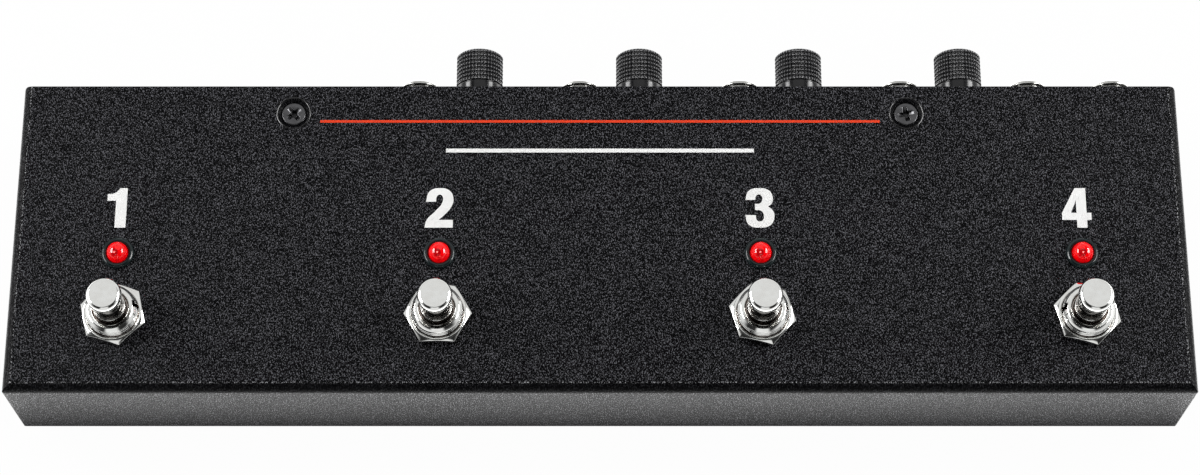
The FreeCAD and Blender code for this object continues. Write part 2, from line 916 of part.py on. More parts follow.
# A small isolating transformer: a wound bobbin across a laminated core.
def transformer():
    half = transformer_width / 2
    core = block(-half, half, -core_thickness / 2, core_thickness / 2, 0, transformer_height)
    wound = half - core_drop
    bobbin = block(-wound, wound, -half, half, core_drop, transformer_height - core_drop)
    bobbin = rounded(bobbin, core_drop, lambda at: abs(at.y) > half - core_drop and abs(at.x) < core_drop)
    foot = block(-wound, wound, -half, half, 0, core_drop)
    return core.fuse(bobbin).fuse(foot).removeSplitter()


def transformers():
    middle_y = panel_inside_y - transformer_from_panel
    row = [(place - (channels - 1) / 2) * transformer_pitch for place in range(channels)]
    return [moved(transformer(), ribbon_x + x, middle_y, main_board_top) for x in row]


# The flat cable from the back edge of the switch board over to the front edge of the main board.
def ribbon_cable():
    start_y = switch_board_back_y - header_inset
    end_y = start_y + 2 * ribbon_bend_radius
    bend_z = switch_board_top_z + plug_height + ribbon_leg
    middle_y = (start_y + end_y) / 2
    half = ribbon_thickness / 2
    outline = []
    for radius in (ribbon_bend_radius + half, ribbon_bend_radius - half):
        ends = (V(0, middle_y - radius, bend_z), V(0, middle_y + radius, bend_z))
        outline.append(Part.Arc(ends[0], V(0, middle_y, bend_z + radius), ends[1]).toShape())
    for turn in (-1, 1):
        wide = V(0, middle_y + turn * (ribbon_bend_radius + half), bend_z)
        near = V(0, middle_y + turn * (ribbon_bend_radius - half), bend_z)
        foot_z = (switch_board_top_z if turn < 0 else main_board_top) + plug_height
        corners = [wide, V(0, wide.y, foot_z), V(0, near.y, foot_z), near]
        outline += [Part.makeLine(a, b) for a, b in zip(corners, corners[1:])]
    strip = Part.Face(Part.Wire(Part.__sortEdges__(outline))).extrude(V(ribbon_width, 0, 0))
    strip = moved(strip, ribbon_x - ribbon_width / 2, 0, 0)
    for y, low in ((start_y, switch_board_top_z), (end_y, main_board_top)):
        plug = block(
            ribbon_x - plug_length / 2, ribbon_x + plug_length / 2,
            y - plug_thickness / 2, y + plug_thickness / 2,
            low, low + plug_height)
        strip = strip.fuse(plug)
    return strip.removeSplitter()


def export(node, shape):
    whole = Part.makeCompound(shape) if isinstance(shape, list) else shape
    whole.exportStep("parts/" + node + ".step")
    print(node, len(whole.Solids), round(whole.Volume, 2), whole.isValid())


def main():
    os.makedirs("parts", exist_ok=True)
    print("gap between spring turns", round(spring_rise() - spring_wire, 2))
    export("top_cover", top_cover())
    export("base_tray", base_tray())
    export("cover_screws", cover_screws())
    export("base_screws", base_screws())
    export("rubber_feet", rubber_feet())
    export("foot_screws", foot_screws())

    plunger = switch_plunger()
    housing = switch_housing()
    spring = switch_spring()
    glass = lamp()
    blades = []
    for place, x in enumerate(switch_xs):
        number = str(place + 1)
        export("switch_plunger_" + number, on_top(plunger, x, switch_back))
        export("switch_spring_" + number, on_top(spring, x, switch_back))
        export("switch_bushing_" + number, on_top(switch_bushing(keyway_turns[place]), x, switch_back))
        export("switch_housing_" + number, on_top(housing, x, switch_back))
        export("lamp_" + number, on_top(glass, x, lamp_back))
        blades += [on_top(contact_blade(side), x, switch_back) for side in (-1, 1)]
    export("switch_contacts", blades)

    thread_bore = bushing_diameter + 2 * thread_play
    top_nut = nut(nut_across, thread_bore, 0, nut_height)
    inner_low = -sheet - washer_thickness - inner_nut_height
    inner_nut = nut(nut_across, thread_bore, inner_low, inner_low + inner_nut_height)
    top_nuts = [turned_by(top_nut, turn) for turn in nut_turns]
    export("switch_nuts", [on_top(piece, x, switch_back) for piece, x in zip(top_nuts, switch_xs)])
    export("switch_inner_nuts", [on_top(inner_nut, x, switch_back) for x in switch_xs])
    export("switch_lock_washers", [on_top(lock_washer(), x, switch_back) for x in switch_xs])
    export("lamp_bezels", [on_top(lamp_bezel(), x, lamp_back) for x in switch_xs])

    cap = knob()
    shaft = pot_shaft()
    control = pot()
    socket = jack()
    for place in range(channels):
        number = str(place + 1)
        export("knob_" + number, on_panel(cap, knob_xs[place]))
        export("pot_shaft_" + number, on_panel(shaft, knob_xs[place]))
        export("pot_" + number, on_panel(control, knob_xs[place]))
        export("output_jack_" + number, on_panel(socket, output_xs[place]))
    export("input_jack", on_panel(socket, input_x))
    export("tuner_jack", on_panel(socket, tuner_x))
    pot_nut = nut(pot_nut_across, pot_bushing_diameter + 2 * thread_play, 0, pot_nut_height)
    socket_nut = nut(socket_nut_across, socket_thread_diameter + 2 * thread_play, 0, socket_nut_height)
    export("pot_nuts", [on_panel(pot_nut, x) for x in knob_xs])
    export("jack_nuts", [on_panel(socket_nut, x) for x in socket_xs])
    export("jack_sleeves", [on_panel(jack_sleeve(), x) for x in socket_xs])
    export("power_inlet", on_panel(power_inlet(), power_x))

    export("main_board", main_board())
    export("standoffs", standoffs())
    export("board_screws", board_screws())
    export("switch_board", switch_board())
    export("relays", relays())
    export("transformers", transformers())
    export("ribbon_cable", ribbon_cable())


main()
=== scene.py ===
import math
from types import SimpleNamespace
import bpy
import bmesh
from mathutils import Matrix, Vector


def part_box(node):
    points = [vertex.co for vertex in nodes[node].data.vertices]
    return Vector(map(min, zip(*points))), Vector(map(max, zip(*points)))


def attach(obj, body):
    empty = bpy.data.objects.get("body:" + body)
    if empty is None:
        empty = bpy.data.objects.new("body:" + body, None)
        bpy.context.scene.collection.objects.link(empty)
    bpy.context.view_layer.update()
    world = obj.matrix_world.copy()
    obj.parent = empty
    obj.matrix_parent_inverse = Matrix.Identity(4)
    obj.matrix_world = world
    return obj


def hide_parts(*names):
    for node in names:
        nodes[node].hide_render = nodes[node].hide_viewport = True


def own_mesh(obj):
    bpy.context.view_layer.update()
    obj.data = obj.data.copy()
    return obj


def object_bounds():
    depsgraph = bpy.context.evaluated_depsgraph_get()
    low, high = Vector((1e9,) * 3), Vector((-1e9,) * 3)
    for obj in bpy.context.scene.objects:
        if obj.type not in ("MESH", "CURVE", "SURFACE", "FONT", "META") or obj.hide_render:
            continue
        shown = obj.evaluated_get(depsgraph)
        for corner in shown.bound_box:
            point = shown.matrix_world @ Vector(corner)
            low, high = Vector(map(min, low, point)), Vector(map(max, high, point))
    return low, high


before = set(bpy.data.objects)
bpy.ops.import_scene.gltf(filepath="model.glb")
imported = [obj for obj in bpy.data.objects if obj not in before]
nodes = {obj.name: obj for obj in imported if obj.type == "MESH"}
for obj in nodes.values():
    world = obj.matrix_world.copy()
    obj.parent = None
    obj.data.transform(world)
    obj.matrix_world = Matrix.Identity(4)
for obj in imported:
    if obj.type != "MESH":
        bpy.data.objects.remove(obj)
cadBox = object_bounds()
scene = bpy.context.scene
mm = 0.001


# Places, all read from the frame
def middleOf(node):
    low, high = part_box(node)
    return (low + high) / 2


channels = range(1, 5)
socketNodes = [f"output_jack_{number}" for number in channels] + ["input_jack", "tuner_jack"]
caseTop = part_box("top_cover")[1].z
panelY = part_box("base_tray")[1].y
axisZ = middleOf("knob_1").z
switchPlaces = [Vector((*middleOf(f"switch_plunger_{number}").xy, caseTop)) for number in channels]
lampPlaces = [Vector((*middleOf(f"lamp_{number}").xy, caseTop)) for number in channels]
knobPlaces = [Vector((middleOf(f"knob_{number}").x, panelY, axisZ)) for number in channels]
socketPlaces = [Vector((middleOf(node).x, panelY, axisZ)) for node in socketNodes]
inletPlace = Vector((middleOf("power_inlet").x, panelY, middleOf("power_inlet").z))
outOfPanel = (-math.pi / 2, 0, 0)
print("places read from the frame")


# Outlines, given in millimetres as points of radius and height
def arcPoints(x, z, radius, start, end, steps):
    turns = [math.radians(start + (end - start) * step / steps) for step in range(steps + 1)]
    return [(x + radius * math.cos(turn), z + radius * math.sin(turn)) for turn in turns]


def softened(profile, size, closed=False, steps=3):
    # rounds every corner of an outline, with a point beyond each round that keeps the flats flat
    result = []
    for index, corner in enumerate(profile):
        if not closed and index in (0, len(profile) - 1):
            result.append(corner[:2])
            continue
        here = Vector(corner[:2])
        back = Vector(profile[index - 1][:2]) - here
        ahead = Vector(profile[(index + 1) % len(profile)][:2]) - here
        if abs(back.angle(ahead) - math.pi) < 0.3:
            result.append(tuple(here))
            continue
        cut = corner[2] if len(corner) > 2 else size
        cut = min(cut, 0.38 * back.length, 0.38 * ahead.length)
        start = here + back.normalized() * cut
        end = here + ahead.normalized() * cut
        result.append(tuple(here + back.normalized() * cut * 1.25))
        for step in range(steps + 1):
            share = step / steps
            point = start * (1 - share) ** 2 + here * 2 * share * (1 - share) + end * share ** 2
            result.append(tuple(point))
        result.append(tuple(here + ahead.normalized() * cut * 1.25))
    return result


def finer(profile, low, high, radius, step):
    # divides the runs of an outline's outer side between two heights
    result = [profile[0]]
    for point in profile[1:]:
        last = Vector(result[-1])
        run = Vector(point) - last
        centre = last + run / 2
        if low < centre.y < high and centre.x > radius:
            parts = max(1, math.ceil(run.length / step))
            result += [tuple(last + run * part / parts) for part in range(1, parts)]
        result.append(point)
    return result


def rectangle(left, low, right, high):
    return [(left, low), (right, low), (right, high), (left, high)]


# Meshes from outlines
def newPiece(name, mesh, material=None):
    piece = bpy.data.objects.new(name, mesh)
    scene.collection.objects.link(piece)
    if material:
        mesh.materials.clear()
        mesh.materials.append(material)
    return piece


def meshPiece(name, points, faces, material=None):
    mesh = bpy.data.meshes.new(name)
    mesh.from_pydata(points, [], faces)
    return newPiece(name, mesh, material)


def spun(name, rings, around=96, angles=None, cap=False):
    # turned about Z: a ring is (radius, height), or a function of the angle that gives both
    angles = angles or [2 * math.pi * step / around for step in range(around)]
    points, loops, faces = [], [], []
    for ring in rings:
        if not callable(ring) and ring[0] < 1e-6:
            loops.append([len(points)])
            points.append((0, 0, ring[1] * mm))
            continue
        loops.append(range(len(points), len(points) + len(angles)))
        for angle in angles:
            radius, height = ring(angle) if callable(ring) else ring
            points.append((radius * math.cos(angle) * mm, radius * math.sin(angle) * mm, height * mm))
    pairs = list(zip(loops, loops[1:]))
    if cap:
        faces.append(list(loops[-1]))
    elif len(loops[0]) > 1:
        pairs.append((loops[-1], loops[0]))
    for low, high in pairs:
        for step in range(len(angles)):
            after = (step + 1) % len(angles)
            corners = [low[step % len(low)], low[after % len(low)],
                       high[after % len(high)], high[step % len(high)]]
            faces.append(list(dict.fromkeys(corners)))
    return meshPiece(name, points, faces)


def lofted(name, outlines):
    # a closed solid between level outlines, lowest first: each is (height, [(x, y), ...])
    points = [(x * mm, y * mm, height * mm) for height, outline in outlines for x, y in outline]
    count = len(outlines[0][1])
    faces = [list(range(count))[::-1], list(range(len(points) - count, len(points)))]
    for level in range(len(outlines) - 1):
        start = level * count
        for step in range(count):
            after = (step + 1) % count
            faces.append([start + step, start + after, start + count + after, start + count + step])
    return meshPiece(name, points, faces)


def evaluatedMesh(piece):
    graph = bpy.context.evaluated_depsgraph_get()
    return bpy.data.meshes.new_from_object(
        piece.evaluated_get(graph), preserve_all_data_layers=True, depsgraph=graph)


def applied(piece):
    # turns the piece's modifiers into plain mesh
    mesh = evaluatedMesh(piece)
    piece.modifiers.clear()
    piece.data = mesh
    return piece


def carved(piece, cutter, operation="DIFFERENCE"):
    cut = piece.modifiers.new("cut", "BOOLEAN")
    cut.object = cutter
    cut.operation = operation
    cut.solver = "EXACT"
    applied(piece)
    bpy.data.objects.remove(cutter)
    return piece


def edgesBroken(piece, width, angle=50):
    bevel = piece.modifiers.new("edges", "BEVEL")
    bevel.width = width * mm
    bevel.segments = 2
    bevel.limit_method = "ANGLE"
    bevel.angle_limit = math.radians(angle)
    return applied(piece)


def shaded(piece, limit=38):
    # smooth faces, with creases kept, and the piece's own coordinates for its patterns
    edit = bmesh.new()
    edit.from_mesh(piece.data)
    for face in edit.faces:
        face.smooth = True
    for edge in edit.edges:
        edge.smooth = edge.calc_face_angle(0) < math.radians(limit)
    edit.to_mesh(piece.data)
    edit.free()
    own = piece.data.attributes.new("own", "FLOAT_VECTOR", "POINT")
    own.data.foreach_set("vector", [value for vertex in piece.data.vertices for value in vertex.co])
    return piece


def weighed(piece, name, weight):
    # a number at every point, from its radius and height in millimetres
    marks = piece.data.attributes.new(name, "FLOAT", "POINT")
    marks.data.foreach_set("value", [
        float(weight(vertex.co.xy.length / mm, vertex.co.z / mm)) for vertex in piece.data.vertices])


def fading(height, low, lowRun, high=math.inf, highRun=1):
    # 1 between two heights, and down to 0 over a run at each end
    return min(max((height - low) / lowRun, 0), 1, max((high - height) / highRun, 0))


def joined(name, pieces):
    # one mesh from several, each with its own material
    edit = bmesh.new()
    materials = []
    for piece in pieces:
        start = len(edit.faces)
        edit.from_mesh(piece.data)
        edit.faces.ensure_lookup_table()
        for face in edit.faces[start:]:
            face.material_index = len(materials)
        materials.append(piece.data.materials[0] if piece.data.materials else None)
        bpy.data.objects.remove(piece)
    mesh = bpy.data.meshes.new(name)
    edit.to_mesh(mesh)
    edit.free()
    result = newPiece(name, mesh)
    for material in materials:
        mesh.materials.append(material)
    return result


def settled(piece, body, slotName, *replaced):
    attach(piece, body)
    if replaced:
        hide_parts(*replaced)


# Short ways to add nodes to a tree
def addNode(tree, kind, feeds=None, **settings):
    made = tree.nodes.new(kind)
    for name, value in settings.items():
        setattr(made, name, value)
    for name, value in (feeds or {}).items():
        socket = made.inputs[name]
        if isinstance(value, bpy.types.NodeSocket):
            tree.links.new(value, socket)
        else:
            socket.default_value = value
    return made


def maths(tree, operation, *values, clamp=False):
    feeds = dict(enumerate(values))
    return addNode(tree, "ShaderNodeMath", feeds, operation=operation, use_clamp=clamp).outputs[0]


def times(tree, *values):
    return maths(tree, "MULTIPLY", *values)


def less(tree, *values):
    return maths(tree, "SUBTRACT", *values)


def vectorMaths(tree, operation, *values):
    result = addNode(tree, "ShaderNodeVectorMath", dict(enumerate(values)), operation=operation)
    return result.outputs["Value" if operation in ("LENGTH", "DOT_PRODUCT") else "Vector"]


def partsOf(tree, vector):
    return addNode(tree, "ShaderNodeSeparateXYZ", {0: vector}).outputs


def vectorFrom(tree, *parts):
    return addNode(tree, "ShaderNodeCombineXYZ", dict(enumerate(parts))).outputs[0]


def rescaled(tree, value, fromLow, fromHigh, toLow, toHigh, smooth=False):
    feeds = {0: value, 1: fromLow, 2: fromHigh, 3: toLow, 4: toHigh}
    shape = "SMOOTHSTEP" if smooth else "LINEAR"
    return addNode(tree, "ShaderNodeMapRange", feeds, interpolation_type=shape).outputs[0]


def rising(tree, value, low, high):
    return rescaled(tree, value, low, high, 0.0, 1.0, smooth=True)


def falling(tree, value, low, high):
    return rescaled(tree, value, low, high, 1.0, 0.0, smooth=True)


def noise(tree, vector, scale, detail, feeds=None, **settings):
    feeds = {"Vector": vector, "Scale": scale, "Detail": detail, **(feeds or {})}
    return addNode(tree, "ShaderNodeTexNoise", feeds, **settings).outputs[0]


def blended(tree, factor, first, second):
    # each colour is a socket, or its red, green and blue
    first, second = (
        value if isinstance(value, bpy.types.NodeSocket) else (*value, 1) for value in (first, second))
    return addNode(tree, "ShaderNodeMix", {0: factor, 6: first, 7: second}, data_type="RGBA").outputs[2]


def grouped(tree, group, **feeds):
    return addNode(tree, "ShaderNodeGroup", feeds, node_tree=group).outputs


def newTree(name, kind, inputs, outputs):
    tree = bpy.data.node_groups.new(name, kind)
    for direction, sockets in (("INPUT", inputs), ("OUTPUT", outputs)):
        for label, socketKind in sockets.items():
            tree.interface.new_socket(label, in_out=direction, socket_type="NodeSocket" + socketKind)
    given = tree.nodes.new("NodeGroupInput").outputs
    result = tree.nodes.new("NodeGroupOutput").inputs
    return tree, given, result


def emptied(owner):
    # the cleared node tree of a material or a world
    owner.use_nodes = True
    owner.node_tree.nodes.clear()
    return owner.node_tree


# Geometry trees: each takes its sizes by name and ends in plain mesh of one material
def geometryTree(name, inputs):
    sockets = {"Geometry": "Geometry", **inputs, "Finish": "Material"}
    return newTree(name, "GeometryNodeTree", sockets, {"Geometry": "Geometry"})


def closeTree(tree, geometry, given, result):
    real = addNode(tree, "GeometryNodeRealizeInstances", {"Geometry": geometry}).outputs[0]
    finished = addNode(tree, "GeometryNodeSetMaterial", {"Geometry": real, "Material": given["Finish"]})
    tree.links.new(finished.outputs[0], result["Geometry"])
    return tree


def roundParts(tree):
    # the angle, height and outward heading of each point about Z
    parts = partsOf(tree, addNode(tree, "GeometryNodeInputPosition").outputs[0])
    angle = maths(tree, "ARCTAN2", parts[1], parts[0])
    return angle, parts[2], vectorMaths(tree, "NORMALIZE", vectorFrom(tree, parts[0], parts[1]))


def pushedOut(tree, geometry, outwards, distance):
    offset = addNode(tree, "ShaderNodeVectorMath", {0: outwards, "Scale": distance}, operation="SCALE")
    feeds = {"Geometry": geometry, "Offset": offset.outputs[0]}
    return addNode(tree, "GeometryNodeSetPosition", feeds).outputs[0]


def weightOf(tree, name):
    return addNode(tree, "GeometryNodeInputNamedAttribute", {"Name": name}, data_type="FLOAT").outputs[0]


def makeCopiesTree():
    tree, given, result = geometryTree("placedCopies", {"Shape": "Object", "Lay": "Rotation"})
    shape = addNode(tree, "GeometryNodeObjectInfo", {"Object": given["Shape"], "As Instance": True})
    laid = addNode(tree, "GeometryNodeInstanceOnPoints", {
        "Points": given["Geometry"], "Instance": shape.outputs["Geometry"], "Rotation": given["Lay"]})
    turned = addNode(tree, "GeometryNodeRotateInstances", {
        "Instances": laid.outputs[0], "Rotation": vectorFrom(tree, 0.0, 0.0, weightOf(tree, "turn")),
        "Local Space": True})
    return closeTree(tree, turned.outputs[0], given, result)


def makeThreadTree():
    # a screw thread cut into the points weighed as threaded
    tree, given, result = geometryTree("screwThread", {"Pitch": "Float", "Depth": "Float"})
    angle, height, outwards = roundParts(tree)
    turns = maths(tree, "DIVIDE", angle, 2 * math.pi)
    phase = less(tree, maths(tree, "DIVIDE", height, given["Pitch"]), turns)
    wave = maths(tree, "MULTIPLY", maths(tree, "PINGPONG", phase, 0.5), 2.5, clamp=True)
    depth = times(tree, given["Depth"], weightOf(tree, "threaded"))
    distance = times(tree, less(tree, wave, 1.0), depth)
    return closeTree(tree, pushedOut(tree, given["Geometry"], outwards, distance), given, result)


def makeGripTree():
    # flutes along a grip, crossed by rings, so that it is covered in small beads
    tree, given, result = geometryTree("beadedGrip", dict.fromkeys(
        ("Flutes", "Flute Depth", "Row Pitch", "Row Depth", "First Row"), "Float"))
    angle, height, outwards = roundParts(tree)
    flute = maths(tree, "COSINE", times(tree, angle, given["Flutes"]))
    row = maths(tree, "DIVIDE", less(tree, height, given["First Row"]), given["Row Pitch"])
    ring = maths(tree, "COSINE", times(tree, row, 2 * math.pi))
    cuts, crowns = [], []
    for wave, depth in ((flute, given["Flute Depth"]), (ring, given["Row Depth"])):
        low = times(tree, less(tree, 1.0, wave), 0.5)
        cuts.append(times(tree, maths(tree, "POWER", low, 1.6), depth))
        crowns.append(maths(tree, "POWER", rescaled(tree, wave, -1.0, 1.0, 0.0, 1.0), 1.5))
    cut = times(tree, maths(tree, "ADD", *cuts), weightOf(tree, "grip"))
    bead = times(tree, times(tree, *crowns), weightOf(tree, "grip"))
    marked = addNode(tree, "GeometryNodeStoreNamedAttribute", {
        "Geometry": given["Geometry"], "Name": "bead", "Value": bead}, data_type="FLOAT", domain="POINT")
    shaped = pushedOut(tree, marked.outputs[0], outwards, times(tree, cut, -1.0))
    return closeTree(tree, shaped, given, result)


def makeSpringTree():
    tree, given, result = geometryTree("woundSpring", dict.fromkeys(
        ("Turns", "Mean Radius", "Rise", "Wire Radius"), "Float"))
    wound = addNode(tree, "GeometryNodeCurveSpiral", {
        "Resolution": 40, "Rotations": given["Turns"], "Start Radius": given["Mean Radius"],
        "End Radius": given["Mean Radius"], "Height": given["Rise"]}).outputs[0]
    wire = addNode(tree, "GeometryNodeCurvePrimitiveCircle", {
        "Resolution": 16, "Radius": given["Wire Radius"]}).outputs[0]
    tube = addNode(tree, "GeometryNodeCurveToMesh", {
        "Curve": wound, "Profile Curve": wire, "Fill Caps": True})
    return closeTree(tree, tube.outputs[0], given, result)


copiesTree = makeCopiesTree()
threadTree = makeThreadTree()
gripTree = makeGripTree()
springTree = makeSpringTree()
print("geometry trees made")


def grown(piece, tree, values):
    # runs a geometry tree over a piece and leaves the result as plain mesh
    modifier = piece.modifiers.new(tree.name, "NODES")
    modifier.node_group = tree
    for item in tree.interface.items_tree:
        if item.in_out == "INPUT" and item.name in values:
            modifier[item.identifier] = values[item.name]
    return applied(piece)


def copiesOf(shape, name, places, material, turns=None, lay=(0, 0, 0)):
    points = meshPiece(name, places, [])
    turn = points.data.attributes.new("turn", "FLOAT", "POINT")
    turn.data.foreach_set("value", [math.radians(value) for value in turns or [0] * len(places)])
    return grown(points, copiesTree, {"Shape": shape, "Lay": lay, "Finish": material})


def placed(shape, name, places, material, slotName, *replaced, turns=None, lay=(0, 0, 0)):
    # copies on the case, after which the shape itself isn't needed
    piece = copiesOf(shape, name, places, material, turns, lay)
    bpy.data.objects.remove(shape)
    settled(piece, "case", slotName, *replaced)


# Shader groups that several finishes share
def shaderTree(name, inputs, outputs):
    kinds = {"Vector": "Vector", "Normal": "Vector"}
    inputs, outputs = (
        {label: kinds.get(label, "Float") for label in labels} for labels in (inputs, outputs))
    return newTree(name, "ShaderNodeTree", inputs, outputs)


def closeGroup(tree, result, **values):
    for name, value in values.items():
        tree.links.new(value, result[name])
    return tree


def makeSmudges():
    # where hands and handling leave a surface duller: 0 to 1
    tree, given, result = shaderTree("handling", ("Vector", "Scale"), ("Mask",))
    wide = noise(tree, given["Vector"], given["Scale"], 4.0)
    fine = noise(tree, given["Vector"], times(tree, given["Scale"], 9.0), 3.0, {"Distortion": 0.6})
    mixed = maths(tree, "ADD", times(tree, wide, 0.7), times(tree, fine, 0.3))
    return closeGroup(tree, result, Mask=rising(tree, mixed, 0.36, 0.64))


def makeFineGrain():
    # the small roughness of moulded, cast or plated surfaces
    tree, given, result = shaderTree("fineGrain", ("Vector", "Scale"), ("Height",))
    grain = noise(tree, given["Vector"], given["Scale"], 3.0, {"Roughness": 0.6})
    return closeGroup(tree, result, Height=grain)


def makeTurnedMarks():
    # rings left by a lathe, from the piece's own coordinates about Z
    tree, given, result = shaderTree("turnedMarks", ("Vector", "Scale"), ("Height",))
    parts = partsOf(tree, given["Vector"])
    out = vectorMaths(tree, "LENGTH", vectorFrom(tree, parts[0], parts[1]))
    rings = noise(tree, vectorFrom(tree, out, parts[2]), given["Scale"], 3.0, noise_dimensions="2D")
    return closeGroup(tree, result, Height=rings)


def makeEdgeWear():
    # a normal that rounds the edges, and a mask of where they have rubbed bright
    tree, given, result = shaderTree("edgeWear", ("Vector", "Radius", "Breakup"), ("Mask", "Normal"))
    rounded = addNode(tree, "ShaderNodeBevel", {"Radius": given["Radius"]}, samples=6).outputs[0]
    true = addNode(tree, "ShaderNodeNewGeometry").outputs["Normal"]
    bend = less(tree, 1.0, vectorMaths(tree, "DOT_PRODUCT", rounded, true))
    patchy = noise(tree, given["Vector"], given["Breakup"], 4.0)
    mask = times(tree, rising(tree, bend, 0.02, 0.2),
                 rescaled(tree, patchy, 0.45, 0.62, 0.15, 1.0, smooth=True))
    return closeGroup(tree, result, Mask=mask, Normal=rounded)


def makeLeatherGrain():
    # the worm-like grain of a textured powder coat, and a mask of its crests
    tree, given, result = shaderTree("leatherGrain", ("Vector", "Scale"), ("Height", "Crest"))
    drawn = vectorMaths(tree, "MULTIPLY", given["Vector"], (1.0, 0.62, 0.45))
    worms = noise(tree, drawn, given["Scale"], 0.8, {"Roughness": 0.5, "Distortion": 0.5})
    patches = noise(tree, given["Vector"], times(tree, given["Scale"], 0.12), 2.0)
    strength = rescaled(tree, patches, 0.35, 0.65, 0.9, 1.1)
    height = times(tree, less(tree, worms, 0.5), strength)
    return closeGroup(tree, result, Height=height, Crest=rising(tree, height, 0.03, 0.17))


def makeCreviceDirtAndShade():
    # where dirt stays and painted shade falls: the narrow gaps that little light reaches, found by ambient
    # occlusion
    tree, given, result = shaderTree("creviceDirtAndShade", ("Vector", "Reach", "Full", "Clear"), ("Mask",))
    openness = addNode(tree, "ShaderNodeAmbientOcclusion", {"Distance": given["Reach"]}, samples=6)
    patchy = noise(tree, given["Vector"], 1.5 / mm, 3.0)
    mask = times(tree, falling(tree, openness.outputs["AO"], given["Full"], given["Clear"]),
                 rescaled(tree, patchy, 0.3, 0.65, 0.7, 1.0, smooth=True))
    return closeGroup(tree, result, Mask=mask)


def makeFoldShading():
    # where a sheet is folded: the bend itself, where the crests fade as painted shade, and the line along
    # which it starts, for a painted highlight
    tree, given, result = shaderTree("foldShading", (), ("Bend", "Start"))
    height = partsOf(tree, addNode(tree, "ShaderNodeNewGeometry").outputs["Normal"])[2]
    rise = maths(tree, "ABSOLUTE", height)
    level = maths(tree, "SQRT", less(tree, 1.0, times(tree, rise, rise)))
    slant = times(tree, rise, level)
    bend = rising(tree, slant, 0.10, 0.24)
    start = times(tree, rescaled(tree, slant, 0.04, 0.075, 0.0, 1.0),
                  times(tree, less(tree, 1.0, bend), rise))
    return closeGroup(tree, result, Bend=bend, Start=start)


smudges = makeSmudges()
fineGrain = makeFineGrain()
turnedMarks = makeTurnedMarks()
edgeWear = makeEdgeWear()
leatherGrain = makeLeatherGrain()
creviceDirtAndShade = makeCreviceDirtAndShade()
foldShading = makeFoldShading()


# Finishes. Lengths are in millimetres and a grain's scale is in features for each millimetre.
def startMaterial(name, look):
    material = bpy.data.materials.new(name)
    material.use_nodes = True
    tree = material.node_tree
    shader = tree.nodes["Principled BSDF"]
    shader.inputs["Metallic"].default_value = look.get("metal", 0.0)
    for socket, value in look.get("fixed", {}).items():
        shader.inputs[socket].default_value = value
    if look.get("own"):
        spot = addNode(tree, "ShaderNodeAttribute", attribute_name="own").outputs["Vector"]
    else:
        spot = addNode(tree, "ShaderNodeTexCoord").outputs["Object"]
    return material, tree, shader, spot


def finish(name, look):
    material, tree, shader, spot = startMaterial(name, look)
    worn = grouped(tree, smudges, Vector=spot, Scale=look.get("smudge", 0.12) / mm)[0]
    edge = grouped(tree, edgeWear, Vector=spot, Radius=look.get("edge", 0.15) * mm, Breakup=0.9 / mm)
    reliefs = []
    for group, key in ((turnedMarks, "turned"), (fineGrain, "grain"), (leatherGrain, "leather")):
        if key in look:
            scale, depth = look[key]
            reliefs.append((grouped(tree, group, Vector=spot, Scale=scale / mm), depth))
    colour = blended(tree, worn, look["colour"], look["shade"])
    # the grain's crests are painted lighter as a painted highlight in place of their gloss; they fade on
    # bends as painted shade, and a painted highlight line runs where each bend starts
    if "crestHighlight" in look:
        foldShadeMasks = grouped(tree, foldShading)
        crests = reliefs[-1][0]["Crest"]
        clear = times(tree, crests, rescaled(tree, foldShadeMasks["Bend"], 0.0, 1.0, 1.0, look["crestOnShadedBends"]))
        colour = blended(tree, clear, colour, look["crestHighlight"])
        colour = blended(tree, times(tree, crests, foldShadeMasks["Start"]), colour, look["foldHighlight"])
        tree.links.new(times(tree, clear, look["lacquer"]), shader.inputs["Coat Weight"])
    colour = blended(tree, times(tree, edge["Mask"], look.get("rub", 0.5)), colour, look["bare"])
    # bead tops painted lighter: wear, and a painted highlight on each bead
    if "bead" in look:
        bead = addNode(tree, "ShaderNodeAttribute", attribute_name="bead").outputs["Fac"]
        colour = blended(tree, bead, colour, look["bead"])
    # a dark band painted on the stem under the head: painted shade and dark reflection
    if "paintedShadeBand" in look:
        low, high, radius, tint = look["paintedShadeBand"]
        fromMiddle = less(tree, partsOf(tree, spot)[2], (low + high) / 2 * mm)
        between = maths(tree, "LESS_THAN", maths(tree, "ABSOLUTE", fromMiddle), (high - low) / 2 * mm)
        out = vectorMaths(tree, "LENGTH", vectorMaths(tree, "MULTIPLY", spot, (1, 1, 0)))
        paintedShadeBand = times(tree, between, maths(tree, "LESS_THAN", out, radius * mm))
        colour = blended(tree, paintedShadeBand, colour, tint)
    # crevices darkened by ambient occlusion: dirt, and painted shade
    if "grimeAndShade" in look:
        reach, *tint = look["grimeAndShade"]
        full, clear = look.get("open", (0.35, 0.85))
        creviceShade = grouped(tree, creviceDirtAndShade, Vector=spot, Reach=reach * mm, Full=full, Clear=clear)[0]
        colour = blended(tree, creviceShade, colour, tint)
    tree.links.new(colour, shader.inputs["Base Color"])
    tree.links.new(rescaled(tree, worn, 0.0, 1.0, *look["rough"]), shader.inputs["Roughness"])
    normal = edge["Normal"]
    for relief, depth in reliefs:
        normal = addNode(tree, "ShaderNodeBump", {
            "Height": relief["Height"], "Distance": depth * mm, "Normal": normal}).outputs[0]
    tree.links.new(normal, shader.inputs["Normal"])
    return material


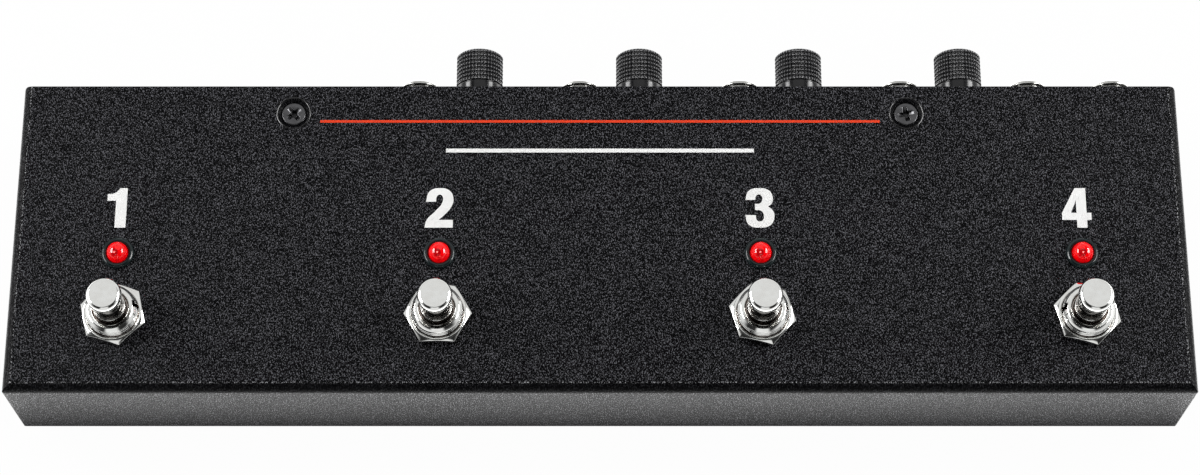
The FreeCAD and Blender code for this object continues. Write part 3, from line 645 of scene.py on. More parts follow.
# the coat's lighter crests and fold line are painted highlights, its darker bends painted shade; its rubbed
# edges are wear and also a painted highlight line
coatLook = {
    "colour": (0.0010, 0.0010, 0.0014), "shade": (0.0008, 0.0008, 0.0011), "bare": (0.11, 0.11, 0.115),
    "crestHighlight": (0.080, 0.080, 0.091), "rough": (0.29, 0.31), "smudge": 0.03, "edge": 0.3, "rub": 0.6,
    "leather": (4.2, 0.18), "crestOnShadedBends": 0.15, "foldHighlight": (0.30, 0.30, 0.31), "lacquer": 0.8,
    "fixed": {"Specular IOR Level": 0.038, "Coat Roughness": 0.3}}
# the nickel darkens to brown in its crevices: tarnish, and painted shade
nickelLook = {
    "own": True, "metal": 1.0, "colour": (0.86, 0.87, 0.85), "shade": (0.80, 0.80, 0.775),
    "bare": (0.90, 0.90, 0.87), "rough": (0.05, 0.10), "smudge": 0.5, "edge": 0.05, "rub": 0.2,
    "turned": (9.0, 0.0012), "grimeAndShade": (1.1, 0.10, 0.055, 0.035)}
plateLook = {
    "metal": 1.0, "colour": (0.70, 0.69, 0.67), "shade": (0.58, 0.57, 0.56), "bare": (0.80, 0.79, 0.77),
    "rough": (0.20, 0.30), "smudge": 0.4, "edge": 0.08, "rub": 0.4, "grain": (3.0, 0.003)}
blackPlasticLook = {
    "own": True, "colour": (0.005, 0.005, 0.006), "shade": (0.009, 0.009, 0.010),
    "bare": (0.030, 0.030, 0.031), "rough": (0.13, 0.22), "smudge": 0.25, "edge": 0.08, "rub": 0.4,
    "grain": (4.0, 0.003), "fixed": {"Specular IOR Level": 0.38}}
inkLook = {
    "colour": (0.83, 0.83, 0.82), "shade": (0.78, 0.78, 0.77), "bare": (0.40, 0.40, 0.40),
    "rough": (0.45, 0.6), "smudge": 0.5, "edge": 0.02, "rub": 0.3, "leather": (2.0, 0.1),
    "grain": (5.0, 0.006), "fixed": {"Specular IOR Level": 0.2}}

# One for each material slot of the frame
finishes = {
    "case_black": finish("textured black coat", coatLook),
    # the screws' crevices go near black: painted shade in the cross recess and round the head
    "screw_black": finish("black oxide screws", {
        **plateLook, "own": True, "colour": (0.12, 0.12, 0.125), "shade": (0.085, 0.085, 0.088),
        "bare": (0.34, 0.34, 0.34), "rough": (0.28, 0.38), "grain": (5.0, 0.004), "edge": 0.12,
        "rub": 0.9, "grimeAndShade": (2.2, 0.001, 0.001, 0.001), "open": (0.5, 0.9)}),
    "foot_rubber": finish("moulded rubber", {
        "own": True, "colour": (0.014, 0.014, 0.014), "shade": (0.028, 0.027, 0.026),
        "bare": (0.04, 0.04, 0.04), "rough": (0.62, 0.78), "smudge": 0.3, "edge": 0.2, "rub": 0.5,
        "grain": (2.5, 0.02)}),
    "bright_nickel": finish("bright nickel", nickelLook),
    "plated_steel": finish("plated steel", plateLook),
    "spring_steel": finish("spring wire", {**plateLook, "rough": (0.24, 0.34), "grain": (6.0, 0.002)}),
    "housing_black": finish("switch housing plastic", {
        **blackPlasticLook, "own": False, "rough": (0.40, 0.52), "grain": (3.0, 0.01)}),
    "bezel_black": finish("bezel plastic", {
        **blackPlasticLook, "colour": (0.006, 0.012, 0.013), "shade": (0.008, 0.014, 0.015),
        "rough": (0.10, 0.16)}),
    # the knob's lighter bead tops are wear and a painted highlight
    "knob_black": finish("knob plastic", {**blackPlasticLook, "bead": (0.11, 0.11, 0.115)}),
    "shaft_aluminium": finish("turned aluminium", {
        **plateLook, "colour": (0.77, 0.77, 0.78), "shade": (0.66, 0.66, 0.67), "grain": (7.0, 0.004)}),
    "contact_brass": finish("brass contacts", {
        **plateLook, "colour": (0.66, 0.47, 0.20), "shade": (0.48, 0.33, 0.14), "bare": (0.80, 0.62, 0.32)}),
    "board_green": finish("circuit board", {
        "colour": (0.012, 0.09, 0.035), "shade": (0.008, 0.06, 0.022), "bare": (0.30, 0.30, 0.16),
        "rough": (0.24, 0.36), "smudge": 0.7, "edge": 0.15, "rub": 0.8, "grain": (2.0, 0.01)}),
    "relay_white": finish("relay case", {
        "colour": (0.74, 0.73, 0.70), "shade": (0.66, 0.65, 0.61), "bare": (0.80, 0.79, 0.77),
        "rough": (0.34, 0.46), "smudge": 0.4, "edge": 0.2, "grain": (3.5, 0.006)}),
    "core_brown": finish("varnished core", {
        "colour": (0.10, 0.045, 0.018), "shade": (0.06, 0.028, 0.012), "bare": (0.30, 0.24, 0.18),
        "rough": (0.30, 0.50), "smudge": 0.8, "edge": 0.2, "rub": 0.7, "grain": (5.0, 0.02)}),
    "cable_grey": finish("ribbon cable", {
        "colour": (0.36, 0.36, 0.37), "shade": (0.30, 0.30, 0.31), "bare": (0.45, 0.45, 0.46),
        "rough": (0.40, 0.55), "smudge": 0.5, "edge": 0.15, "grain": (4.0, 0.01)}),
}
whiteInk = finish("white ink", inkLook)
redInk = finish("orange-red ink", {
    **inkLook, "colour": (0.76, 0.045, 0.006), "shade": (0.66, 0.036, 0.005), "bare": (0.3, 0.03, 0.01)})
pointerPaint = finish("pointer paint", {**inkLook, "rough": (0.35, 0.5), "leather": (3.0, 0.01)})
# near-black skin for the screw dimples: painted shade
dimpleShadeSkin = finish("dimple black", {
    **blackPlasticLook, "colour": (0.0012, 0.0012, 0.0012), "shade": (0.002, 0.002, 0.002),
    "rough": (0.16, 0.24), "edge": 0.05, "fixed": {"Specular IOR Level": 0.6}})
# nickel buttons with painted shade on the stem below the head
buttonNickelShadedStem = finish("button nickel", {**nickelLook, "paintedShadeBand": (7.1, 13.45, 3.5, (0.05, 0.045, 0.04))})
# the satin nickel's crevices go near black: painted shade
satinNickel = finish("satin nickel", {
    **nickelLook, "colour": (0.62, 0.62, 0.60), "shade": (0.55, 0.55, 0.53), "rough": (0.22, 0.30),
    "grimeAndShade": (1.3, 0.01, 0.008, 0.006)})

lensLook = {
    "own": True, "colour": (0.95, 0.0005, 0.003), "worn": (0.62, 0.0005, 0.003), "smudge": 1.4,
    "ring": (0.20, 0.001, 0.003), "paintedGlintColour": (0.9, 0.12, 0.12), "paintedGlints": 1.5, "dot": (1.0, 0.6, 0.58),
    "offCentre": (0.3, 0.75), "fixed": {
        "Transmission Weight": 0.12, "IOR": 1.45, "Specular IOR Level": 0.18, "Coat Weight": 0.60,
        "Coat Roughness": 0.02, "Emission Strength": 0.3}}
coreLook = {
    "own": True, "colour": (0.95, 0.20, 0.14), "shade": (0.80, 0.08, 0.05), "grain": 2.0,
    "fixed": {"Emission Strength": 0.1}}


def redLens(look):
    material, tree, shader, spot = startMaterial("red lens", look)
    worn = grouped(tree, smudges, Vector=spot, Scale=look["smudge"] / mm)[0]
    colour = blended(tree, worn, look["colour"], look["worn"])
    # inside the dome: the dark edge of the cup around a bright spot, with small painted glints of refracted
    # light beside it
    x, y = look["offCentre"]
    inside = vectorMaths(tree, "MULTIPLY", vectorMaths(tree, "ADD", spot, (x * mm, y * mm, 0)), (1, 1, 0))
    out = maths(tree, "DIVIDE", vectorMaths(tree, "LENGTH", inside), mm)
    ring = times(tree, rescaled(tree, out, 0.25, 0.4, 0.0, 0.75, smooth=True), falling(tree, out, 0.7, 1.0))
    colour = blended(tree, ring, colour, look["ring"])
    paintedGlints = addNode(tree, "ShaderNodeTexVoronoi", {"Vector": inside, "Scale": look["paintedGlints"] / mm}).outputs[0]
    paintedGlints = times(tree, rescaled(tree, paintedGlints, 0.10, 0.2, 0.8, 0.0), rescaled(tree, out, 0.9, 1.3, 1.0, 0.0))
    colour = blended(tree, paintedGlints, colour, look["paintedGlintColour"])
    dot = falling(tree, out, 0.12, 0.26)
    tree.links.new(blended(tree, dot, colour, look["dot"]), shader.inputs["Base Color"])
    tree.links.new(colour, shader.inputs["Emission Color"])
    tree.links.new(rescaled(tree, worn, 0.0, 1.0, 0.02, 0.06), shader.inputs["Roughness"])
    return material


def glowingCore(look):
    material, tree, shader, spot = startMaterial("lamp core", look)
    grain = grouped(tree, fineGrain, Vector=spot, Scale=look["grain"] / mm)[0]
    colour = blended(tree, grain, look["colour"], look["shade"])
    tree.links.new(colour, shader.inputs["Base Color"])
    tree.links.new(colour, shader.inputs["Emission Color"])
    tree.links.new(rescaled(tree, grain, 0.3, 0.7, 0.15, 0.4), shader.inputs["Roughness"])
    return material


finishes["lens_red"] = redLens(lensLook)
coreGlow = glowingCore(coreLook)
for node in nodes.values():
    for slotHeld in node.material_slots:
        slotHeld.material = finishes[slotHeld.material.name]
print("finishes made and given to the carried-over nodes")


# Footswitch buttons
button = {
    "prod": 1.9, "prodLow": -11.2, "catch": 4.8, "catchLow": -7.6, "catchTop": -6.4, "guide": 3.7,
    "collar": 7.0, "stem": 3.35, "headLow": 13.6, "head": 4.1, "headTop": 15.8, "headRound": 1.35,
    "rimEnd": 65, "flat": 1.6}


def makeButtons():
    b = SimpleNamespace(**button)
    rimEnd = math.radians(b.rimEnd)
    crown = b.headTop - b.headRound * math.sin(rimEnd)
    rim = b.head - b.headRound * (1 - math.cos(rimEnd))
    outline = softened([
        (0, b.prodLow), (b.prod, b.prodLow, 0.3), (b.prod, b.catchLow), (b.catch, b.catchLow),
        (b.catch, b.catchTop), (b.guide, b.catchTop), (b.guide, b.collar, 0.28), (b.stem, b.collar, 0.04),
        (b.stem, b.headLow, 0.1), (b.head - 0.1, b.headLow, 0.1), (b.head, b.headLow + 0.5, 0.3),
        (b.head, crown)], 0.12)
    outline += arcPoints(b.head - b.headRound, crown, b.headRound, 5, b.rimEnd, 12)
    outline += [(rim - 0.1, b.headTop), (b.flat, b.headTop), (0, b.headTop)]
    shape = shaded(spun("buttonShape", outline, 128), 20)
    for number, place in zip(channels, switchPlaces):
        piece = copiesOf(shape, f"foot_button_{number}", [place], buttonNickelShadedStem)
        settled(piece, f"button_{number}", "bright_nickel", f"switch_plunger_{number}")
    bpy.data.objects.remove(shape)


# Threaded bushings of the footswitches, each with a keyway and the shoulder under the panel
bushing = {
    "bore": 3.75, "outer": 6.0, "relief": 0.5, "low": -6.3, "threadLow": -4.8, "threadTop": 4.95,
    "top": 5.8, "chamfer": 0.8, "mouth": 4.2, "mouthLow": 5.1, "lip": 0.22, "pitch": 1.0, "depth": 0.42,
    "keyWidth": 1.65, "keyFloor": 5.25, "keyTurns": (12.0, 171.0, 4.5, 175.0),
    "shoulder": 7.5, "shoulderRound": 1.0, "shoulderEdge": 0.15}


def roundedSquare(angle, half, corner):
    across, along = abs(math.cos(angle)), abs(math.sin(angle))
    straight = half / max(across, along)
    inner = half - corner
    if straight * min(across, along) <= inner:
        return straight
    reach = inner * (across + along)
    return reach + math.sqrt(reach ** 2 - 2 * inner ** 2 + corner ** 2)


def makeBushings():
    b = SimpleNamespace(**bushing)
    outline = softened([
        (b.bore, b.low), (b.outer - b.relief, b.low), (b.outer - b.relief, b.threadLow - 0.2),
        (b.outer, b.threadLow + 0.3), (b.outer, b.top - b.chamfer, 0.12), (b.outer - b.chamfer, b.top, 0.12),
        (b.mouth + b.lip, b.top, 0.08), (b.mouth, b.top - b.lip, 0.08), (b.mouth, b.mouthLow, 0.1),
        (b.bore, b.mouthLow, 0.1)], 0.15, closed=True)
    barrel = spun("barrel", finer(outline, b.threadLow, b.threadTop, b.outer - 0.1, 0.1), 120)
    weighed(barrel, "threaded", lambda radius, height: radius > b.outer - 0.4 and fading(
        height, b.threadLow + 0.4, 0.5, b.threadTop + 0.15, 0.4))
    grown(barrel, threadTree, {
        "Pitch": b.pitch * mm, "Depth": b.depth * mm, "Finish": finishes["bright_nickel"]})
    slot = rectangle(b.keyFloor, -b.keyWidth / 2, b.outer + 1, b.keyWidth / 2)
    shaded(carved(barrel, lofted("keyway", [(b.threadLow, slot), (b.top + 1, slot)])))

    def square(inset, height):
        return lambda angle: (roundedSquare(angle, b.shoulder - inset, b.shoulderRound), height)
    low, high, edge = b.low, b.threadLow, b.shoulderEdge
    plate = shaded(spun("shoulderPlate", [
        (b.bore, low), square(edge, low), square(0, low + edge), square(0, high - edge), square(edge, high),
        (b.bore, high)], 144))
    barrels = copiesOf(barrel, "barrels", switchPlaces, finishes["bright_nickel"], b.keyTurns)
    plates = copiesOf(plate, "plates", switchPlaces, finishes["plated_steel"])
    bpy.data.objects.remove(barrel)
    bpy.data.objects.remove(plate)
    settled(joined("switch_bushings", [barrels, plates]), "case", "bright_nickel",
            *[f"switch_bushing_{number}" for number in channels])


# Hexagon nuts: the crown is turned, so its cone meets the flats in curves
nutForm = {"corner": 0.3, "crown": 0.97, "cone": 30}
switchNut = {"across": 14.0, "height": 2.5, "bore": 5.75, "turns": (43.5, 0.0, 47.0, 45.3)}
socketNut = {"across": 12.7, "height": 2.4, "bore": 4.66, "turns": (12, 47, 3, 33, 22, 51)}
potNut = {"across": 10.0, "height": 2.0, "bore": 3.46, "turns": (20, 5, 41, 28)}


def hexRadius(angle, across, corner):
    half = across / 2
    side = math.pi / 3
    fromCorner = abs((angle + side / 2) % side - side / 2)
    centre = (half - corner) / math.cos(side / 2)
    tangent = math.atan2(corner / 2, centre + corner * math.cos(side / 2))
    if fromCorner < tangent:
        return centre * math.cos(fromCorner) + math.sqrt(corner ** 2 - (centre * math.sin(fromCorner)) ** 2)
    return half / math.cos(side / 2 - fromCorner)


def hexAngles():
    # a point every 3 degrees, and closer ones round each corner
    steps = sorted([*range(-27, 31, 3), -1.1, -0.7, -0.35, 0.35, 0.7, 1.1])
    return [math.radians(corner * 60 + step) for corner in range(6) for step in steps]


def makeNut(name, look):
    across, height, bore = look["across"], look["height"], look["bore"]
    crown = nutForm["crown"] * across / 2
    slope = math.tan(math.radians(nutForm["cone"]))

    def side(inset, level):
        return lambda angle: (hexRadius(angle, across, nutForm["corner"]) - inset, level)

    def top(inset, below):
        def ring(angle):
            radius = hexRadius(angle, across, nutForm["corner"]) - inset
            return radius, height - max(radius - crown, 0) * slope - below
        return ring
    return shaded(spun(name, [
        (bore + 0.3, 0), side(0.2, 0), side(0.06, 0.06), side(0, 0.2),
        top(0, 0.14), top(0.015, 0.06), top(0.08, 0.0),
        (crown + 0.12, height - 0.07), (crown, height - 0.012), (crown - 0.12, height), (crown - 0.2, height),
        (bore + 0.5, height), (bore + 0.38, height - 0.03), (bore + 0.05, height - 0.35),
        (bore, height - 0.5), (bore, 0.3)], angles=hexAngles()), 30)


def makeNuts():
    for name, look, places, lay, node in (
            ("switch_top_nuts", switchNut, switchPlaces, (0, 0, 0), "switch_nuts"),
            ("socket_nuts", socketNut, socketPlaces, outOfPanel, "jack_nuts"),
            ("control_nuts", potNut, knobPlaces, outOfPanel, "pot_nuts")):
        placed(makeNut(name + "Shape", look), name, places, finishes["bright_nickel"], "bright_nickel", node,
               turns=look["turns"], lay=lay)


# Return springs
spring = {"length": 8.0, "mean": 3.0, "wire": 0.7, "turns": 5, "endGap": 0.05, "travel": 3.5}


def makeSprings():
    s = SimpleNamespace(**spring)
    rise = s.length - s.wire - 2 * s.endGap
    for number, place in zip(channels, switchPlaces):
        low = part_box(f"switch_spring_{number}")[0].z - s.endGap * mm
        piece = newPiece(f"return_spring_{number}", bpy.data.meshes.new("wire"))
        grown(piece, springTree, {
            "Turns": float(s.turns), "Mean Radius": s.mean * mm, "Rise": rise * mm,
            "Wire Radius": s.wire / 2 * mm, "Finish": finishes["spring_steel"]})
        shaded(piece, 60)
        piece.data.transform(Matrix.Translation((place.x, place.y, low + (s.wire / 2 + s.endGap) * mm)))
        settled(piece, "case", "spring_steel", f"switch_spring_{number}")
        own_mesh(piece)


makeButtons()
makeBushings()
makeNuts()
makeSprings()
print("footswitches and nuts made")


# Lamps: a clear red lens over a lead frame with its cup, and the bezel around it
lamp = {
    "radius": 2.5, "top": 3.4, "low": -5.2, "flange": 2.9, "flangeTop": -4.2, "leadSpacing": 2.54,
    "lead": 0.25, "die": 0.2, "dieLow": -0.35, "dieTop": -0.05,
    "cup": [(0, -4.6), (0.7, -4.6), (0.7, -1.2), (1.25, 0.1),
            (1.25, 0.35), (1.0, 0.35), (0.55, -0.35), (0, -0.35)]}
bezel = {
    "bore": 2.55, "seat": 2.95, "seatTop": -4.15, "rim": 3.85, "height": 1.1, "round": 0.5, "barrel": 3.4,
    "barb": 0.25, "barbTop": -1.25, "barbLength": 0.9}


def makeLamps():
    p = SimpleNamespace(**lamp)
    outline = softened([
        (0, p.low), (p.flange, p.low), (p.flange, p.flangeTop), (p.radius, p.flangeTop),
        (p.radius, p.flangeTop + 0.6)], 0.12)
    outline += arcPoints(0, p.top - p.radius, p.radius, 0, 90, 20)
    lens = shaded(spun("lensShape", outline, 96))
    cup = shaded(spun("cupShape", softened(p.cup, 0.06), 48))
    square = rectangle(-p.die, -p.die, p.die, p.die)
    die = shaded(edgesBroken(lofted("dieShape", [(p.dieLow, square), (p.dieTop, square)]), 0.03))
    legs = []
    leadLow = (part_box("lamp_1")[0].z - caseTop) / mm
    for side in (-1, 1):
        x, half = side * p.leadSpacing / 2, p.lead
        square = rectangle(x - half, -half, x + half, half)
        tip = [(x + (px - x) * 0.5, py * 0.5) for px, py in square]
        legs.append(lofted("leg", [(leadLow, tip), (leadLow + 0.4, square), (p.low + half, square)]))
    leads = shaded(edgesBroken(joined("leadShape", legs), 0.06))
    lampNodes = [f"lamp_{number}" for number in channels]
    for shape, name, material, slotName in (
            (lens, "lamp_lenses", finishes["lens_red"], "lens_red"),
            (cup, "lamp_cups", coreGlow, "lens_red"), (die, "lamp_dies", coreGlow, "lens_red"),
            (leads, "lamp_leads", finishes["plated_steel"], "plated_steel")):
        placed(shape, name, lampPlaces, material, slotName, *lampNodes)


def makeBezels():
    b = SimpleNamespace(**bezel)
    low, inner = lamp["low"], b.height - 0.05
    outline = softened([
        (b.seat, low), (b.barrel, low), (b.barrel, b.barbTop - b.barbLength), (b.barrel + b.barb, b.barbTop),
        (b.barrel, b.barbTop), (b.barrel, 0.0), (b.rim, 0.0), (b.rim, 0.35), (b.rim - 0.1, 0.75),
        (b.rim - b.round, b.height), (b.bore + 0.3, inner), (b.bore, inner - 0.3), (b.bore, b.seatTop),
        (b.seat, b.seatTop)], 0.16, closed=True)
    placed(shaded(spun("bezelShape", outline, 96)), "lamp_bezel_rings", lampPlaces, finishes["bezel_black"],
           "bezel_black", "lamp_bezels")


makeLamps()
makeBezels()
print("lamps made")


# Screws with a cross recess and a cut thread, and rubber feet, each with a recess for its screw
recess = {"span": 3.9, "width": 1.15, "depth": 1.25, "tip": 1.3, "narrow": 0.8, "above": 0.4}
screwThread = {"pitch": 0.5, "depth": 0.26, "root": 1.3, "step": 0.085, "point": 0.4}
coverScrew = {
    "head": 3.0, "rim": 0.3, "sink": 0.75, "high": 0.25, "shank": 1.5, "reach": 4.1, "turns": (39.4, 13.0),
    "dimple": 3.85, "dimpleLow": 0.12, "lip": 0.3, "lipHigh": 0.09, "skin": 0.04}
panScrew = {
    "head": 2.8, "height": 1.7, "dome": 0.85, "shank": 1.5, "baseReach": 4.5, "footReach": 4.1,
    "spread": 109.7}
foot = {"head": 3.15, "low": 5.7, "round": 0.8, "wide": 6.5, "height": 4.0, "hole": 1.85, "seat": 2.1}


def crossOutline(span, width):
    reach, half = span / 2, width / 2
    soft = min(0.35 * half, 0.3 * (reach - half))
    arm = [(half + soft, -half), (reach - soft, -half), (reach, soft - half),
           (reach, half - soft), (reach - soft, half), (half + soft, half)]
    corners = []
    for quarter in range(4):
        turn = Matrix.Rotation(quarter * math.pi / 2, 2)
        corners += [tuple(turn @ Vector(point)) for point in arm]
    return corners


def recessed(screw, top):
    r = SimpleNamespace(**recess)
    grow = (r.span - r.tip) / r.depth * r.above
    wide = (r.width - r.narrow) / r.depth * r.above
    cutter = lofted("recess", [
        (top - r.depth, crossOutline(r.tip, r.narrow)), (top, crossOutline(r.span, r.width)),
        (top + r.above, crossOutline(r.span + grow, r.width + wide))])
    return shaded(edgesBroken(carved(screw, cutter), 0.05, 35), 30)


def threadedShank(name, outline, shank, low, high):
    t = SimpleNamespace(**screwThread)
    screw = spun(name, finer(outline, low, high, t.root, t.step), 64, cap=True)
    weighed(screw, "threaded", lambda radius, height: (
        t.root < radius < shank + 0.2 and low - 0.01 < height < high))
    return grown(screw, threadTree, {
        "Pitch": t.pitch * mm, "Depth": t.depth * mm, "Finish": finishes["screw_black"]})


def makeCoverScrews():
    c = SimpleNamespace(**coverScrew)
    low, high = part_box("cover_screws")
    top, threadLow = c.high - c.sink, screwThread["point"] - c.reach
    outline = softened([
        (0, -c.reach), (c.shank - 0.3, -c.reach), (c.shank, threadLow),
        (c.shank, -c.sink - c.head + c.shank), (c.head, -c.sink, 0.05), (c.head - c.rim, top, 0.05),
        (c.head - c.rim - 0.4, top)], 0.1)
    screw = recessed(threadedShank("screwShape", outline, c.shank, threadLow, -c.sink - 1.6), top)
    y = (low.y + high.y) / 2
    reach = c.head * mm
    places = [Vector((low.x + reach, y, caseTop)), Vector((high.x - reach, y, caseTop))]
    placed(screw, "cover_screw_heads", places, finishes["screw_black"], "screw_black", "cover_screws",
           turns=c.turns)
    # a thin near-black skin laid on the dimple wall around each head as painted shade, with a raised lip
    inner, floor = c.head - 0.02, -c.sink - c.dimpleLow
    outline = softened([
        (inner, floor), (c.dimple - 0.05, -0.06), (c.dimple + c.lip / 2, c.lipHigh, 0.06),
        (c.dimple + c.lip, 0.0, 0.03), (c.dimple + c.lip, -c.skin), (c.dimple, -c.skin),
        (inner, floor - c.skin)], 0.04, closed=True)
    placed(shaded(spun("dimpleShape", outline, 96)), "cover_screw_dimples", places, dimpleShadeSkin, "case_black")


def footPlaces(height):
    low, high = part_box("rubber_feet")
    reach = foot["wide"] * mm
    return [Vector((x, y, height)) for y in (low.y + reach, high.y - reach)
            for x in (low.x + reach, high.x - reach)]


def makePanScrews():
    p = SimpleNamespace(**panScrew)
    dome = arcPoints(p.head - p.dome, p.dome, p.dome, 0, 90, 8)
    underneath = (math.pi, 0, 0)
    low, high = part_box("base_screws")
    reach, spread = p.head * mm, p.spread * mm
    front, ends = low.y + reach, high.y - reach
    trayLow = low.z + p.height * mm
    basePlaces = [Vector((x, front, trayLow)) for x in (-spread, 0, spread)]
    basePlaces += [Vector((x, ends, trayLow)) for x in (low.x + reach, high.x - reach)]
    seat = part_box("foot_screws")[0].z + p.height * mm
    for name, length, places, node, turns in (
            ("base_screw_set", p.baseReach, basePlaces, "base_screws", (18, 51, 74, 36, 5)),
            ("foot_screw_set", p.footReach, footPlaces(seat), "foot_screws", (63, 12, 40, 81))):
        threadLow = screwThread["point"] - length
        outline = softened([
            (0, -length), (p.shank - 0.3, -length), (p.shank, threadLow), (p.shank, 0),
            (p.head, 0, 0.1), (p.head, p.dome - 0.05)], 0.12) + dome
        screw = recessed(threadedShank(name + "Shape", outline, p.shank, threadLow, -0.4), p.height)
        placed(screw, name, places, finishes["screw_black"], "screw_black", node, turns=turns, lay=underneath)


def makeFeet():
    f = SimpleNamespace(**foot)
    rim = arcPoints(f.low - f.round, f.round, f.round, -90, 0, 6)
    outline = softened([(f.head, 0.0, 0.25)] + rim + [
        (f.wide - 0.02, f.height - 0.3), (f.wide, f.height), (f.hole, f.height), (f.hole, f.seat),
        (f.head, f.seat)], 0.15, closed=True)
    placed(shaded(spun("footShape", outline, 96)), "rubber_foot_set", footPlaces(0), finishes["foot_rubber"],
           "foot_rubber", "rubber_feet")


makeCoverScrews()
makePanScrews()
makeFeet()
print("screws and feet made")


# Level controls: a knob with a smooth skirt, a groove and a beaded grip
knob = {
    "radius": 5.75, "start": 2.8, "skirt": 5.8, "grip": 6.2, "end": 14.5, "neck": 5.4, "recess": 3.9,
    "recessEnd": 5.4, "bore": 3.03, "boreEnd": 12.4, "flutes": 44.0, "fluteDepth": 0.26, "rowPitch": 1.02,
    "rowDepth": 0.34, "pointer": 0.9, "pointerDepth": 0.4, "pointerEnd": 0.62, "paint": 0.17,
    "paintGap": 0.03}


def makeKnobs():
    k = SimpleNamespace(**knob)
    outer = k.radius
    outline = softened([
        (0, k.boreEnd), (k.bore, k.boreEnd), (k.bore, k.recessEnd), (k.recess, k.recessEnd),
        (k.recess, k.start), (outer - 0.1, k.start, 0.2), (outer, k.skirt, 0.25), (k.neck, k.skirt, 0.05),
        (k.neck, k.grip, 0.05), (outer, k.grip, 0.12), (outer, k.end - 0.45, 0.2), (outer - 0.5, k.end, 0.15),
        (outer - 1.3, k.end, 0.1), (outer - 1.4, k.end - 0.1, 0.05)], 0.12)
    outline = finer(outline, k.grip, k.end - 0.3, outer - 0.2, 0.128)
    grip = spun("knobShape", outline, 352, cap=True)
    weighed(grip, "grip", lambda radius, height: radius > outer - 0.8 and fading(
        height, k.grip + 0.05, 0.2, k.end - 0.2, 0.5))
    grown(grip, gripTree, {
        "Flutes": k.flutes, "Flute Depth": k.fluteDepth * mm, "Row Pitch": k.rowPitch * mm,
        "Row Depth": k.rowDepth * mm, "First Row": (k.grip + 0.5) * mm, "Finish": finishes["knob_black"]})
    half, end, gap = k.pointer / 2, k.pointerEnd - outer, k.paintGap
    groove = rectangle(-half, end, half, 0)
    shaded(carved(grip, lofted("groove", [(k.end - k.pointerDepth, groove), (k.end + 1, groove)])), 50)
    line = rectangle(gap - half, end + gap, half - gap, -0.05)
    low = k.end - k.pointerDepth - 0.02
    paint = shaded(edgesBroken(lofted("paint", [(low, line), (low + k.paint, line)]), 0.04))
    for number, place in zip(channels, knobPlaces):
        cap = copiesOf(grip, f"level_knob_{number}", [place], finishes["knob_black"], None, outOfPanel)
        settled(cap, f"dial_{number}", "knob_black", f"knob_{number}")
        mark = copiesOf(paint, f"knob_pointer_{number}", [place], pointerPaint, None, outOfPanel)
        settled(mark, f"dial_{number}", None)
    bpy.data.objects.remove(grip)
    bpy.data.objects.remove(paint)


# Sockets: a threaded sleeve with a smooth nose, and the power inlet
sleeve = {
    "bore": 3.3, "outer": 4.76, "low": -5.2, "grooveLow": 4.75, "grooveTop": 5.4, "neck": 3.95, "top": 6.6,
    "pitch": 0.8, "depth": 0.3, "turns": (0, 75, 140, 210, 35, 290)}
inlet = {
    "half": 4.5, "depth": 13.0, "sheet": 1.2, "nose": 4.5, "noseTop": 0.6, "hole": 2.8, "holeLow": -8.9,
    "flare": 0.3, "pin": 1.05, "pinTop": -0.2}


def makeSleeves():
    s = SimpleNamespace(**sleeve)
    outline = softened([
        (s.bore, s.low), (s.outer, s.low), (s.outer, 0), (s.outer, s.grooveLow, 0.05),
        (s.neck, s.grooveLow, 0.05), (s.neck, s.grooveTop, 0.05), (s.outer, s.grooveTop, 0.1),
        (s.outer - 0.05, s.top - 0.85), (s.outer - 0.3, s.top - 0.4), (s.outer - 0.7, s.top - 0.1),
        (s.outer - 1.0, s.top, 0.1), (s.bore, s.top - 0.25, 0.12)], 0.1, closed=True)
    shape = spun("sleeveShape", finer(outline, 0, s.grooveLow, s.outer - 0.1, 0.09), 96)
    weighed(shape, "threaded", lambda radius, height: (
        radius > 4.6 and height < s.grooveLow + 0.01 and fading(height, 0.1, 0.4)))
    grown(shape, threadTree, {"Pitch": s.pitch * mm, "Depth": s.depth * mm, "Finish": satinNickel})
    placed(shaded(shape), "socket_sleeves", socketPlaces, satinNickel, "bright_nickel", "jack_sleeves",
           turns=s.turns, lay=outOfPanel)


def makeInlet():
    i = SimpleNamespace(**inlet)
    half, back, hole = i.half, -i.sheet, i.hole
    square = rectangle(-half, -half, half, half)
    body = edgesBroken(lofted("inletBody", [(back - i.depth, square), (back, square)]), 0.3)
    nose = spun("nose", softened([
        (0, back - 1), (i.nose, back - 1), (i.nose, i.noseTop, 0.25), (0, i.noseTop)], 0.2), 96)
    carved(body, nose, "UNION")
    cutter = spun("hole", softened([
        (0, i.holeLow), (hole, i.holeLow), (hole, i.noseTop - 0.25, 0.02),
        (hole + i.flare, i.noseTop + 0.05, 0.02), (hole + i.flare, 2), (0, 2)], 0.1), 96)
    shaded(carved(body, cutter), 30)
    pin = shaded(spun("pin", softened([
        (0, i.holeLow - 0.5), (i.pin, i.holeLow - 0.5), (i.pin, i.pinTop, 0.4), (0, i.pinTop)],
        0.1, steps=6), 64))
    for shape, name, slotName in ((body, "inlet_body", "housing_black"), (pin, "inlet_pin", "bright_nickel")):
        placed(shape, name, [inletPlace], finishes[slotName], slotName, "power_inlet", lay=outOfPanel)


makeKnobs()
makeSleeves()
makeInlet()
print("rear panel parts made")


# Printing on the top: channel numbers and two straight lines, a thin layer of ink
digits = {"height": 10.1, "front": 40.6, "ink": 0.03, "lefts": (-117.6, -41.75, 34.6, 110.1)}
